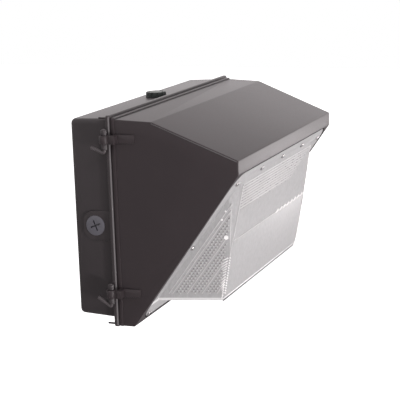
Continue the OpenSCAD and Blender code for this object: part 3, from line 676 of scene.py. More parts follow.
def refractor_plastic():
    """Pale prismatic plastic: milky with an upright hatch, with a painted highlight along its
    lowest edge.
    """
    colour = (0.385, 0.385, 0.389)
    finish = new_material("refractor_plastic", colour, 0.42, Specular_IOR_Level=0.1,
                          Transmission_Weight=0.06, IOR=1.58)
    cloudy = mottle(finish, 420, shade(colour, 0.93), shade(colour, 1.07), (1, 1, 0.45), 4)
    grain(finish, 520, 0.5, 0.2, (1, 1, 0.4), 3)
    where = add(finish, "TexCoord")
    height = add(finish, "SeparateXYZ")
    link(finish, where.outputs["Object"], height.inputs["Vector"])
    # Painted highlight: the colour turns pale grey in a band at the bowl's lowest edge.
    rim = bowl_points()[1][1] * MM
    edge = add(finish, "Mix", data_type="RGBA")
    edge.inputs[7].default_value = (0.74, 0.74, 0.74, 1)
    link(finish, cloudy, edge.inputs[6])
    band = add(finish, "Math", operation="MULTIPLY")
    for i, (ends, low, high) in enumerate(((BAND_TOP, 1, 0), (BAND_LOW, 0, 1))):
        start, stop = (rim + end * MM for end in ends)
        link(finish, spread(finish, height.outputs["Z"], low, high, start, stop), band.inputs[i])
    link(finish, band.outputs[0], edge.inputs[0])
    link(finish, edge.outputs[2], shader_of(finish).inputs["Base Color"])
    return finish


def phosphor():
    colour = (0.85, 0.66, 0.16)
    finish = new_material("led_phosphor", colour, 0.35, Specular_IOR_Level=0.5)
    mottle(finish, 500, shade(colour, 0.85), colour)
    grain(finish, 3000, 0.2, 0.05)
    return finish


def tinted_window():
    colour = (0.15, 0.16, 0.15)
    finish = new_material("photocell_window", colour, 0.5, Specular_IOR_Level=0.15)
    mottle(finish, 260, shade(colour, 0.8), shade(colour, 1.2))
    grain(finish, 1200, 0.08, 0.03)
    return finish


FINISHES = {
    # The housing's coat carries a painted highlight on the front edge of its flange's left side.
    "bronze_housing": flange_edge_highlight(powder_coat("bronze_housing", (0.036, 0.031, 0.033)),
                                 (0.12, 0.113, 0.116)),
    "bronze_door": powder_coat("bronze_door", (0.0285, 0.0225, 0.0245)),
    # Paler coat for the hood's beads: a painted edge highlight.
    "bronze_edge_highlight": powder_coat("bronze_edge_highlight", (0.1, 0.095, 0.097)),
    "plug_grey": moulded_plastic("plug_grey", (0.085, 0.083, 0.098), 0.45),
    "photocell_black": moulded_plastic("photocell_black", (0.03, 0.034, 0.033), 0.5, 0.2),
    "photocell_window": tinted_window(),
    "black_rubber": rubber("black_rubber", (0.015, 0.015, 0.015)),
    # Near black rather than grey: the gasket's bead stands in for shade in the gap round the
    # refractor's flange, a painted shade.
    "grey_silicone": rubber("grey_silicone", (0.014, 0.014, 0.015), 0.03),
    "pin_steel": powder_coat("pin_steel", (0.075, 0.066, 0.069), 0.3),
    "stainless": bare_metal("stainless", (0.45, 0.44, 0.44), 0.18),
    "zinc": bare_metal("zinc", (0.62, 0.63, 0.65), 0.32),
    "ground_green": moulded_plastic("ground_green", (0.03, 0.22, 0.07), 0.35),
    "refractor": refractor_plastic(),
    # Lighter, darker, white and near-black copies of the refractor's plastic: painted highlights
    # and painted shade on its relief.
    "prism_white": moulded_plastic("prism_white", (0.9, 0.89, 0.89), 0.25),
    "prism_light": moulded_plastic("prism_light", (0.6, 0.597, 0.599), 0.35),
    "prism_dark": moulded_plastic("prism_dark", (0.32, 0.316, 0.318), 0.3),
    "prism_pale": moulded_plastic("prism_pale", (0.46, 0.458, 0.459), 0.35),
    "prism_edge": moulded_plastic("prism_edge", (0.08, 0.079, 0.08), 0.5, 0.2),
    "white_reflector": moulded_plastic("white_reflector", (0.72, 0.72, 0.70), 0.3),
    "plate_aluminium": bare_metal("plate_aluminium", (0.70, 0.71, 0.72), 0.35, (0.1, 1, 1)),
    "board_white": moulded_plastic("board_white", (0.70, 0.71, 0.68), 0.4),
    "led_phosphor": phosphor(),
    "connector_white": moulded_plastic("connector_white", (0.66, 0.65, 0.60), 0.45),
    "driver_case": bare_metal("driver_case", (0.55, 0.56, 0.57), 0.38, (1, 0.1, 1)),
    "surge_case": moulded_plastic("surge_case", (0.02, 0.02, 0.022), 0.45),
    "terminal_ivory": moulded_plastic("terminal_ivory", (0.62, 0.58, 0.46), 0.4),
    "lead_red": moulded_plastic("lead_red", (0.42, 0.02, 0.02), 0.4),
    "lead_black": moulded_plastic("lead_black", (0.012, 0.012, 0.012), 0.4),
}


# Castings

def outward(a, b):
    """Outward normal of an outline in depth and height, between two of its corners."""
    run = Vector((b[0] - a[0], b[1] - a[1])).normalized()
    return Vector((0, run.y, run.x))


def hood_solid(name, wall, ledge):
    """The hood's outer form drawn in by a wall, and by a ledge at its opening."""
    root, lip, low, chin = ((ROOT_DEPTH, ROOT_TOP), (LIP_DEPTH, LIP_TOP), (LIP_DEPTH, LIP_LOW),
                            (CHIN_DEPTH, CHIN))
    rear = -ROOT_DEPTH + (PAST if wall else 0)
    solid = block(name, (-HOOD_HALF + wall, wall - LIP_DEPTH, CHIN + wall),
                  (HOOD_HALF - wall, rear, ROOT_TOP + PAST))
    for a, b, t in ((root, BROW, wall), (BROW, lip, wall), (low, chin, ledge)):
        normal = outward(a, b)
        slice_off(solid, Vector((0, -a[0], a[1])) - t * normal, normal)
    for s in SIDES:
        normal = Vector((s * (LIP_DEPTH - ROOT_DEPTH), LIP_HALF - HOOD_HALF, 0)).normalized()
        slice_off(solid, Vector((s * HOOD_HALF, -ROOT_DEPTH, 0)) - wall * normal, normal)
    return solid


def hood_rim():
    """Flange of the hood: a rounded frame in front of the housing's flange."""
    rim = wall_plate("rim", RIM_HALF, RIM_LOW, RIM_TOP, ROOT_DEPTH, RIM_FRONT, RIM_R)
    round_edges(rim, RIM_EDGE, 2, 40)
    cut(rim, wall_plate("hole", RIM_HALF - RIM_BAND, RIM_LOW + RIM_BAND, RIM_TOP - RIM_BAND,
                        ROOT_DEPTH - PAST, RIM_FRONT + PAST, RIM_INNER_R))
    return rim


def soft_block(name, low, high, edge=BLOCK_EDGE):
    part = block(name, low, high)
    round_edges(part, edge, 2)
    return part


def soft_rod(name, start, end, r, edge=SOFT, sides=40):
    part = rod(name, start, end, r, sides=sides)
    round_edges(part, edge, 2, 50)
    return part


def ridge(name, start, end, r, end_r=None, sides=8):
    """Fine moulded line or prism with rounded ends."""
    part = rod(name, start, end, r, end_r, sides)
    round_edges(part, RIDGE_SHARE * min(r, r if end_r is None else end_r), 2, 65)
    return part


def hinge_parts(height):
    """Knuckle, arm, block and strap of one hinge on the hood."""
    low, high = height - KNUCKLE_H / 2, height + KNUCKLE_H / 2
    left = PIN_X - ARM_T / 2
    yield soft_rod("knuckle", (PIN_X, -PIN_DEPTH, low), (PIN_X, -PIN_DEPTH, high), KNUCKLE_R,
                   KNUCKLE_EDGE)
    yield soft_block("arm", (left, -BLOCK_START - PAST, low + NUDGE),
                     (left + ARM_T, -PIN_DEPTH, high - NUDGE), ARM_EDGE)
    yield soft_block("lug", (left - BLOCK_PROUD, -BLOCK_END, low - NUDGE),
                     (BITE - HOOD_HALF, -BLOCK_START, high + NUDGE))
    strap = block("strap", (-HOOD_HALF - STRAP_PROUD, -STRAP_END, low),
                  (STRAP_BITE - HOOD_HALF, PAST - BLOCK_END, high))
    slice_off(strap, (-HOOD_HALF - STRAP_TIP_T, -STRAP_END, 0), (-1, -STRAP_TAPER, 0))
    round_edges(strap, SOFT, 2)
    yield strap


def ear_parts(rear, front, inner):
    """Closing ears and the webs that carry them, on both sides of the middle height."""
    for s in SIDES:
        z = s * CLOSING_H
        yield soft_rod("ear", (CLOSING_X, -rear, z), (CLOSING_X, -front, z), EAR_R)
        yield soft_block("web", (inner, NUDGE - front, z - EAR_R + NUDGE),
                         (CLOSING_X, -rear - NUDGE, z + EAR_R - NUDGE))


def bores(obj, list_of_ends, r):
    for start, end in list_of_ends:
        cut(obj, rod("bore", start, end, r, sides=32))


def lens_screw_places():
    """Across and down the opening, for each screw of the lens flange."""
    top, low = LENS_TOP_D + SCREW_INSET, LENS_LOW_D - SCREW_LOW_INSET
    side = LENS_HALF - SCREW_INSET
    places = [(i * SCREW_PITCH, d) for i in (-1, 0, 1) for d in (top, low)]
    for s in SIDES:
        places += [(s * 2 * SCREW_PITCH, top + SCREW_STEP),
                   (s * side, (LENS_TOP_D + LENS_LOW_D) / 2), (s * (side - SCREW_STEP), low)]
    return places


def hood_opening(hood):
    """Pocket and aperture of the refractor, and the bosses for its screws."""
    place = opening_frame()
    cut(hood, rounded_panel("pocket", LENS_HALF + LENS_GAP, -LENS_LOW_D - LENS_GAP,
                            LENS_GAP - LENS_TOP_D, -POCKET, POCKET_TOOL, LENS_R + LENS_GAP,
                            place))
    cut(hood, rounded_panel("aperture", BOWL_BASE_HALF - APERTURE_INSET,
                            APERTURE_INSET - BOWL_LOW_D, -BOWL_TOP_D - APERTURE_INSET,
                            -LEDGE - BITE, PAST - POCKET, APERTURE_R, place))
    for x, d in lens_screw_places():
        weld(hood, rod("boss", on_opening(x, d, -LEDGE - BOSS_L),
                       on_opening(x, d, BOSS_BITE - LEDGE), BOSS_R, sides=24))


def hood_bores(hood):
    """Bores of the knuckles for the pins, and of the ears for the closing screws."""
    bores(hood, [((PIN_X, -PIN_DEPTH, h - KNUCKLE_BORE), (PIN_X, -PIN_DEPTH, h + KNUCKLE_BORE))
                 for h in HINGES], PIN_R + PIN_FIT)
    bores(hood, [((CLOSING_X, PAST - ROOT_DEPTH, s * CLOSING_H),
                  (CLOSING_X, -ROOT_DEPTH - EAR_L - PAST, s * CLOSING_H)) for s in SIDES],
          CLOSING_R + CLOSING_FIT)


def front_hood():
    hood = hood_solid("hood", 0, 0)
    inside = opening_frame().inverted()

    def at_opening(*ends):
        return all(abs((inside @ (end * MM)).z) < SAME for end in ends)

    round_chosen(hood, HOOD_EDGE, 4, lambda a, b: not at_opening(a, b)
                 and max(-a.y, -b.y) > ROOT_DEPTH + PAST)
    round_chosen(hood, OPENING_EDGE, 2, at_opening)
    weld(hood, hood_rim())
    cut(hood, hood_solid("cavity", HOOD_WALL, LEDGE))
    for height in HINGES:
        for part in hinge_parts(height):
            weld(hood, part)
    for part in ear_parts(ROOT_DEPTH, ROOT_DEPTH + EAR_L, HOOD_HALF - BITE):
        weld(hood, part)
    hood_opening(hood)
    hood_bores(hood)
    finish_piece(hood, FINISHES["bronze_door"], "door", "bronze_door", "front_door")


def hood_beads():
    """Fine raised line on each side of the hood, just under the edge of its slope, in a paler coat
    as a painted highlight.
    """
    for s, name in HANDS:
        ends = []
        for depth, height in (BROW, BEAD_END):
            taper = (HOOD_HALF - LIP_HALF) * (depth - ROOT_DEPTH) / (LIP_DEPTH - ROOT_DEPTH)
            ends.append((s * (HOOD_HALF - taper), -depth, height - BEAD_DROP))
        bead = ridge("hood_bead_" + name, *ends, BEAD_R, sides=12)
        finish_piece(bead, FINISHES["bronze_edge_highlight"], "door", "bronze_door")


def housing_box(name, wall):
    """The box's outer form, or its space when drawn in by a wall."""
    box = block(name, (-BOX_HALF - SPARE, -FLANGE_FRONT - PAST, BOX_LOW - SPARE),
                (BOX_HALF + SPARE, -wall, BOX_TOP + SPARE))
    for s, edge in ((-1, BOX_LOW), (1, BOX_TOP)):
        for point, normal in (((s * BOX_HALF, -BOX_DEPTH, 0), (s * BOX_DEPTH, BOX_DRAFT, 0)),
                              ((0, -BOX_DEPTH, edge), (0, BOX_DRAFT_Z, s * BOX_DEPTH))):
            normal = Vector(normal).normalized()
            slice_off(box, Vector(point) - wall * normal, normal)
    round_edges(box, BOX_R - wall, 5, 30)
    if not wall:
        slice_off(box, (0, PAST - FLANGE_FRONT, 0), (0, -1, 0))
    return box


def conduit_pad(s):
    """Raised pad round one conduit entry: a disc that runs out straight to the flange."""
    inner, face = s * (PAD_FACE - PAD_T), s * PAD_FACE
    pad = rod("pad", (inner, -PLUG_DEPTH, PLUG_DROP), (face, -PLUG_DEPTH, PLUG_DROP),
              PAD_R, PAD_R - PAD_EDGE, 64)
    run = block("run", (min(inner, face), -BOX_DEPTH - PAST, PLUG_DROP - PAD_R),
                (max(inner, face), -PLUG_DEPTH, PLUG_DROP + PAD_R))
    round_edges(run, PAD_EDGE, 2)
    weld(pad, run)
    slice_off(pad, (0, PAD_R * PAD_SHARE - PLUG_DEPTH, 0), (0, 1, 0))
    return pad


def housing_lugs(height):
    """Lugs above and below one knuckle of the hood, with their webs."""
    for low, tall in ((height + KNUCKLE_H / 2 + LUG_GAP, LUG_TOP_H),
                      (height - KNUCKLE_H / 2 - LUG_GAP - LUG_LOW_H, LUG_LOW_H)):
        yield soft_rod("lug", (PIN_X, -PIN_DEPTH, low), (PIN_X, -PIN_DEPTH, low + tall), LUG_R,
                       LUG_EDGE)
        yield soft_block("web", (PIN_X, -PIN_DEPTH - WEB_HALF, low + WEB_INSET),
                         (BITE - FLANGE_HALF, WEB_HALF - PIN_DEPTH, low + tall - WEB_INSET),
                         WEB_EDGE)


def rear_wall_holes(housing, s):
    """Screw holes and one junction box slot through one half of the rear wall."""
    bores(housing, [((s * WALL_SCREW_X, PAST, z), (s * WALL_SCREW_X, -WALL_BORE_L, z))
                    for z in (-WALL_SCREW_Z, WALL_SCREW_Z)], WALL_SCREW_R)
    left, right, inner = s * SLOT_X - SLOT_HALF, s * SLOT_X + SLOT_HALF, -BOX_WALL - BITE
    slot = rod("slot", (left, PAST, ENTRY_H), (left, inner, ENTRY_H), SLOT_R)
    weld(slot, rod("end", (right, PAST, ENTRY_H), (right, inner, ENTRY_H), SLOT_R))
    weld(slot, block("mid", (left, inner, ENTRY_H - SLOT_R), (right, PAST, ENTRY_H + SLOT_R)))
    cut(housing, slot)


def housing_space():
    """Space inside the box, less the hubs of the conduit entries and the wall bosses."""
    space = housing_box("space", BOX_WALL)
    for s in SIDES:
        cut(space, rod("hub", (s * (PAD_FACE - PLUG_L - HUB_WALL), -PLUG_DEPTH, PLUG_DROP),
                       (s * PAD_FACE, -PLUG_DEPTH, PLUG_DROP), PLUG_R + HUB_WALL))
        for z in (-WALL_SCREW_Z, WALL_SCREW_Z):
            x = s * WALL_SCREW_X
            cut(space, rod("boss", (x, 0, z), (x, -BOX_WALL - WALL_BOSS_T, z), WALL_BOSS_R))
    return space


def conduit_bores(housing, s):
    """Bore of one conduit entry, and the wider seat of its plug."""
    start, head, end = ((s * x, -PLUG_DEPTH, PLUG_DROP)
                        for x in (HUB_BORE[0], PLUG_FACE - PLUG_SINK, HUB_BORE[1]))
    bores(housing, [(start, end)], PLUG_R + PLUG_FIT)
    bores(housing, [(head, end)], PLUG_HEAD_R + PLUG_FIT)


def middle_bores(housing):
    """Wire entry, photocell hole, and the bores of the hinge lugs and closing ears."""
    bores(housing, [((0, PAST, ENTRY_H), (0, -BOX_WALL - BITE, ENTRY_H))], ENTRY_R)
    bores(housing, [[(0, -PHOTOCELL_DEPTH, z) for z in PHOTOCELL_BORE]], PHOTOCELL_BORE_R)
    bores(housing, [((PIN_X, -PIN_DEPTH, h - LUG_BORE), (PIN_X, -PIN_DEPTH, h + LUG_BORE))
                    for h in HINGES], PIN_R + PIN_FIT)
    bores(housing, [((CLOSING_X, -FLANGE_FRONT - PAST, s * CLOSING_H),
                     (CLOSING_X, -CLOSING_BORE_END, s * CLOSING_H)) for s in SIDES],
          CLOSING_R + CLOSING_FIT)


def rear_housing():
    housing = housing_box("housing", 0)
    flange = wall_plate("flange", FLANGE_HALF, FLANGE_LOW, FLANGE_TOP, BOX_DEPTH, FLANGE_FRONT,
                        FLANGE_R)
    round_edges(flange, FLANGE_EDGE, 4, 40)
    weld(housing, flange)
    for s in SIDES:
        weld(housing, conduit_pad(s))
    for height in HINGES:
        for part in housing_lugs(height):
            weld(housing, part)
    for part in ear_parts(FLANGE_FRONT - HOUSING_EAR_L, FLANGE_FRONT, BOX_HALF - BITE):
        weld(housing, part)
    cut(housing, housing_space())
    for s in SIDES:
        conduit_bores(housing, s)
        rear_wall_holes(housing, s)
    middle_bores(housing)
    for z in (FLANGE_TOP - TAB_INSET_Z, FLANGE_LOW + TAB_INSET_Z):
        x = TAB_INSET - FLANGE_HALF
        weld(housing, soft_rod("tab", (x, -BOX_DEPTH - PAST, z), (x, TAB_L - BOX_DEPTH, z),
                               TAB_R, TAB_EDGE, 16))
    finish_piece(housing, FINISHES["bronze_housing"], "housing", "bronze_housing", "rear_housing")


# Refractor

def bowl_solid(name, wall):
    """The bowl's outer form, or its inner space when drawn in by the wall."""
    a, b, c = bowl_points()
    bowl = block(name, (-BOWL_BASE_HALF - SPARE, -a[0] - SPARE, c[1] + wall),
                 (BOWL_BASE_HALF + SPARE, SPARE - c[0], a[1] + 4 * SPARE))
    out = outward((LIP_DEPTH, LIP_LOW), (CHIN_DEPTH, CHIN))
    front = outward(a, b)
    slice_off(bowl, Vector((0, -a[0], a[1])) - wall * front, front)
    for s in SIDES:
        p, q, _, normal = bowl_side(s)
        slice_off(bowl, p - wall * normal, normal)
        fade = p + (q - p) * CORNER_SHARE
        back, inward = p + Vector((0, CORNER_BACK, 0)), p - Vector((s * CORNER_IN, 0, 0))
        normal = (back - fade).cross(inward - fade).normalized()
        normal = normal if normal.x * s > 0 else -normal
        slice_off(bowl, fade - wall * normal, normal)
    # The upright edges at the front, which are long and stand high and near, then the low ones
    long, above, near = 30, c[1] + 20, -120
    round_chosen(bowl, CORNER_R, 6, lambda p, q: abs(p.z - q.z) > long
                 and min(p.z, q.z) > above and max(p.y, q.y) < near)
    round_chosen(bowl, BOWL_INNER_R if wall else BOWL_LOW_R, 4,
                 lambda p, q: max(p.z, q.z) < c[1] + wall + NUDGE)
    sink = LENS_SINK + (LENS_FLANGE_T + PAST if wall else LENS_FLANGE_T / 2)
    slice_off(bowl, on_opening(0, 0, -sink), -out)
    return bowl


def bowl_side(s):
    """Corners of one side of the bowl (top front, low front, low rear) and its normal."""
    a, b, c = bowl_points()
    p, q, r = (Vector((s * BOWL_FRONT_HALF, -a[0], a[1])),
               Vector((s * BOWL_LOW_HALF, -b[0], b[1])), Vector((s * BOWL_BASE_HALF, -c[0], c[1])))
    normal = (q - p).cross(r - p).normalized()
    return p, q, r, normal if normal.x * s > 0 else -normal


def refractor():
    bowl = bowl_solid("refractor", 0)
    flange = rounded_panel("flange", SEEN_HALF, -LENS_LOW_D, -SEEN_TOP_D,
                           -LENS_SINK - LENS_FLANGE_T, -LENS_SINK, LENS_R, opening_frame(), 10)
    round_edges(flange, LENS_EDGE, 2, 40)
    weld(bowl, flange)
    cut(bowl, bowl_solid("inside", LENS_WALL))
    for x, d in lens_screw_places():
        hole = rod("hole", on_opening(x, d, -2 * LENS_WALL), on_opening(x, d, BITE),
                   SCREW_HOLE_R, sides=24)
        cut(bowl, hole)
    finish_piece(bowl, FINISHES["refractor"], "door", "refractor", "refractor_lens", smooth=30)


def front_axes():
    """The bowl's front: the middle of its top edge, the way down it and the way out of it."""
    a, b, _ = bowl_points()
    return (Vector((0, -a[0], a[1])), Vector((0, a[0] - b[0], b[1] - a[1])).normalized(),
            outward(a, b))


def front_length():
    """From the top edge of the bowl's front to its low edge."""
    a, b, _ = bowl_points()
    return (a[1] - b[1]) / math.cos(BOWL_RAKE)


def front_line(name, start, end, along, proud, r, end_r=None, sides=8):
    """Line across the bowl's front, a distance down it and proud of it."""
    top, down, out = front_axes()
    ends = [Vector((x, 0, 0)) + top + along * down + proud * out for x in (start, end)]
    return ridge(name, *ends, r, end_r, sides)


def lower_prisms():
    """Thin raised panel on the lower part of the bowl's front."""
    top, down, out = front_axes()
    upright = Matrix(((1, 0, 0, 0), (0, -down.y, out.y, top.y * MM),
                      (0, -down.z, out.z, top.z * MM), (0, 0, 0, 1)))
    panel = rounded_panel("lower_prisms", BOWL_LOW_HALF - PANEL_INSET, PANEL_RISE - front_length(),
                          -STEP_D, -PANEL_SINK, PANEL_PROUD, PANEL_R, upright, 3)
    round_edges(panel, PANEL_EDGE, 2, 40)
    finish_piece(panel, FINISHES["refractor"], "door", "refractor")


def front_ribs():
    """Ribs across the upper front, shorter the lower they are, and the line of the step, paler
    than the refractor as painted highlights.
    """
    parts = [front_line("step_line", -BOWL_LOW_HALF - BITE, BOWL_LOW_HALF, STEP_D, STEP_PROUD,
                        STEP_R)]
    end = BOWL_FRONT_HALF - RIB_INSET
    for i in range(RIB_COUNT):
        parts.append(front_line("rib", -end, end - RIB_FADE * i, RIB_TOP + i * RIB_PITCH,
                                -RIB_SINK, *RIB_R, 12))
    finish_piece(join("front_ribs", parts), FINISHES["prism_pale"], "door", "refractor")


def front_glints():
    """Bright line low on the front, and bright teeth at the right of the step: painted highlights.
    """
    top, down, out = front_axes()
    end = BOWL_LOW_HALF - PANEL_INSET
    parts = [front_line("low_line", -end, end, front_length() - LOW_LINE_RISE, LINE_PROUD,
                        LOW_LINE_R, sides=12)]
    for i in range(TEETH):
        x = BOWL_LOW_HALF - TOOTH_INSET - i * TOOTH_PITCH
        ends = [Vector((x - back, 0, 0)) + top + (STEP_D + drop) * down + proud * out
                for back, drop, proud in TOOTH_ENDS]
        parts.append(ridge("tooth", *ends, *TOOTH_R))
    finish_piece(join("front_glints", parts), FINISHES["prism_white"], "door", "refractor")


def front_shade():
    """Dark line under the low front edge: painted shade."""
    end = BOWL_LOW_HALF - SHADE_INSET
    edge = front_line("front_shade", -end, end, front_length() - SHADE_RISE, -SHADE_SINK,
                      SHADE_R, sides=16)
    finish_piece(edge, FINISHES["prism_edge"], "door", "refractor")


def front_grooves():
    """Dark lines between the ribs: painted shade."""
    left, right = GROOVE_ENDS
    end = BOWL_FRONT_HALF - RIB_INSET
    parts = []
    for i in range(RIB_COUNT):
        parts.append(front_line("groove", left - end, end - right - RIB_FADE * i,
                                RIB_TOP + (i + 0.5) * RIB_PITCH, -GROOVE_SINK, *GROOVE_R))
    finish_piece(join("front_grooves", parts), FINISHES["prism_dark"], "door", "refractor")


def lens_gasket():
    """Soft ring under the flange of the refractor, with a bead that fills the gap round it; near
    black, so the bead is painted shade in that gap.
    """
    place = opening_frame()
    gap, slack = LENS_GAP - SEAL_PLAY, SEAL_SLACK
    seal = rounded_panel("gasket", LENS_HALF + gap, -LENS_LOW_D - gap, gap - LENS_TOP_D,
                         slack - POCKET, SEAL_FACE, LENS_R + gap, place)
    cut(seal, rounded_panel("seat", SEEN_HALF + slack, -LENS_LOW_D - slack,
                            slack - SEEN_TOP_D, -LENS_SINK - LENS_FLANGE_T - slack, PAST,
                            LENS_R, place, 10))
    cut(seal, rounded_panel("hole", BOWL_BASE_HALF + SEAL_INSET, -BOWL_LOW_D - SEAL_LOW_INSET,
                            SEAL_INSET - BOWL_TOP_D, -SEAL_TOOL, BITE, APERTURE_R, place))
    for x, d in lens_screw_places():
        cut(seal, rod("hole", on_opening(x, d, -SEAL_TOOL), on_opening(x, d, 0), SEAL_HOLE_R,
                      sides=24))
    finish_piece(seal, FINISHES["grey_silicone"], "door", "grey_silicone", "lens_gasket")


def prism_rows(side, seed):
    """Rows of small prisms, and fine lines between them, on one side of the bowl, in painted
    highlight and painted shade.
    """
    p, q, r, normal, along, across = side
    turn = Matrix((along, across, normal)).transposed().to_4x4()
    slant, reach, length = (q - p).dot(along), (q - p).dot(across), (r - p).length
    light, dark = [], []
    for row in range(PRISM_ROWS):
        depth = ROW_START + row * ROW_PITCH
        share = depth / reach
        first = p + along * (share * slant + ROW_INSET) + across * depth
        run = length * (1 - share) - ROW_ENDS
        if row in LINE_ROWS:
            light.append(ridge("line", first, first + along * run, LINE_R, sides=6))
            continue
        for i in range(int(run / PRISM_PITCH)):
            spot = first + along * (i * PRISM_PITCH + (row % 2) * PRISM_PITCH)
            copy = copy_at(seed, "prism", Matrix.Translation(spot * MM) @ turn)
            # Every other prism is painted shade; the rest and the lines are painted highlight.
            (dark if i % 2 else light).append(copy)
    return light, dark


def corner_lines(side, s):
    """Two fine lines along the rounded corner of the bowl."""
    p, q = side[:2]
    fade = p + (q - p) * CORNER_SHARE
    back, inward = CORNER_BACK + CORNER_LINE_GAP, CORNER_IN + CORNER_LINE_GAP
    for top in (p + Vector((0, back, 0)), p - Vector((s * inward, 0, 0))):
        yield ridge("line", top + (fade - top) * CORNER_LINE_SHARE, fade, *CORNER_LINE_R)


def corner_glints(side):
    """Short ribs that fan out below the corner, its serrated edge, and bright flats, all white as
    painted highlights.
    """
    p, q, _, normal, along, across = side
    for i in range(FAN_COUNT):
        foot = p + (q - p) * (FAN_SHARE + i * FAN_STEP_SHARE) + along * FAN_INSET
        tip = (foot + along * (FAN_L + FAN_WAVE * math.sin(i * FAN_TURN))
               - across * (FAN_RISE - i * FAN_RISE_STEP))
        yield ridge("fan", foot, tip, *FAN_R)
        tooth = p + (q - p) * (CORNER_SHARE + i * EDGE_STEP_SHARE) + along * EDGE_INSET
        yield ridge("tooth", tooth, tooth + across * EDGE_L, *EDGE_R)
    for share, back, size in FLATS:
        spot = p + (q - p) * share + along * back
        yield ridge("flat", spot, spot + normal * FLAT_H, size + FLAT_FOOT, size, 6)


def side_prisms():
    """Prisms, lines and glints on both sides of the bowl, in painted highlight and painted shade.
    """
    seed = ridge("seed", (0, 0, -PRISM_SINK), (0, 0, PRISM_H), *PRISM_R, 6)
    for s, name in HANDS:
        p, q, r, normal = bowl_side(s)
        along = (r - p).normalized()
        across = normal.cross(along)
        across = across if across.dot(q - p) > 0 else -across
        side = (p, q, r, normal, along, across)
        light, dark = prism_rows(side, seed)
        light += corner_lines(side, s)
        white = list(corner_glints(side))
        for kind, parts in (("prisms", light), ("shades", dark), ("glints", white)):
            piece = join("side_%s_%s" % (kind, name), parts)
            face_out(piece)
            finish_piece(piece, FINISHES[PRISM_FINISH[kind]], "door", "refractor")
    bpy.data.objects.remove(seed)


# Fasteners and fittings

def screw(name, r, length, head_r, head_h, slot="cross"):
    """Screw along -Z with a domed head above z = 0, and a cross or straight recess."""
    head = rod(name, (0, 0, 0), (0, 0, head_h), head_r, head_r * CROWN_SHARE, 32)
    round_edges(head, head_h * DOME_SHARE, 3, 40)
    shank = rod("shank", (0, 0, -length), (0, 0, NUDGE), r, sides=24)
    round_edges(shank, r * TIP_SHARE, 2, 50)
    weld(head, shank)
    half, recess, reach = head_r * RECESS_SHARE / 2, head_h * FLOOR_SHARE, head_r * CROSS_SHARE
    bars = [(reach, half), (half, reach)]
    if slot == "straight":
        bars = [(head_r * SLOT_SHARE, half)]
    for x, y in bars:
        cut(head, block("slot", (-x, -y, recess), (x, y, head_h + PAST)))
    return head


def lens_screws():
    master = screw("master", LENS_SCREW_R, LENS_SCREW_L, LENS_HEAD_R, LENS_HEAD_H)
    copies = []
    for i, (x, d) in enumerate(lens_screw_places()):
        spin = Matrix.Rotation(LENS_SCREW_TURN * i, 4, "Z")
        rise = Matrix.Translation(Vector((x, -d, -LENS_SINK)) * MM)
        copies.append(copy_at(master, "lens_screw", opening_frame() @ rise @ spin))
    bpy.data.objects.remove(master)
    finish_piece(join("lens_screw_set", copies), FINISHES["stainless"], "door", "stainless",
                 "lens_screws")


def closing_screws():
    length = EAR_L + ROOT_DEPTH - FLANGE_FRONT + HOUSING_EAR_L - BITE
    master = screw("master", CLOSING_R, length, CLOSING_HEAD_R, CLOSING_HEAD_H, "straight")
    for s, name in ((1, "upper"), (-1, "lower")):
        place = (Matrix.Translation(Vector((CLOSING_X, -ROOT_DEPTH - EAR_L, s * CLOSING_H)) * MM)
                 @ Matrix.Rotation(math.pi / 2, 4, "X")
                 @ Matrix.Rotation(CLOSING_TURN * s, 4, "Z"))
        bolt = copy_at(master, "closing_bolt_" + name, place)
        finish_piece(bolt, FINISHES["stainless"], "closing_screw_" + name, "stainless",
                     "closing_screw_" + name)
    bpy.data.objects.remove(master)


def hinge_pins():
    """Bent wire pins: a straight pin with a round bend into its pull tail."""
    for height, name, rise in zip(HINGES, ("upper", "lower"), TAIL_RISES):
        top = height + KNUCKLE_H / 2 + LUG_GAP + LUG_TOP_H + PIN_TOP
        foot = height - KNUCKLE_H / 2 - LUG_GAP - LUG_LOW_H - PIN_FOOT - PIN_R
        corner = Vector((PIN_X, -PIN_DEPTH, foot))
        tail = corner + Vector((0, TAIL_BACK, rise))
        first = corner + Vector((0, 0, PIN_BEND))
        last = corner + (tail - corner).normalized() * PIN_BEND
        points = [Vector((PIN_X, -PIN_DEPTH, top))]
        for i in range(BEND_STEPS + 1):
            t = i / BEND_STEPS
            points.append((1 - t) ** 2 * first + 2 * t * (1 - t) * corner + t ** 2 * last)
        pin = wire("hinge_wire_" + name, points + [tail], PIN_R)
        round_edges(pin, SOFT, 3, 60)
        finish_piece(pin, FINISHES["pin_steel"], "hinge_pin_" + name, "pin_steel",
                     "hinge_pin_" + name)


def wire(name, points, r):
    """Round wire along points, closed at both ends."""
    curve = bpy.data.curves.new("wire", "CURVE")
    curve.dimensions = "3D"
    curve.bevel_depth = r * MM
    curve.bevel_resolution = 6
    curve.use_fill_caps = True
    line = curve.splines.new("POLY")
    line.points.add(len(points) - 1)
    for point, place in zip(line.points, points):
        point.co = (*(place * MM), 1)
    bent = bpy.data.objects.new(name, curve)
    bpy.context.scene.collection.objects.link(bent)
    active(bent)
    bpy.ops.object.convert(target="MESH")
    bpy.ops.object.mode_set(mode="EDIT")
    bpy.ops.mesh.select_all(action="SELECT")
    bpy.ops.mesh.remove_doubles(threshold=0.00001)
    bpy.ops.mesh.normals_make_consistent(inside=False)
    bpy.ops.object.mode_set(mode="OBJECT")
    return bpy.context.object


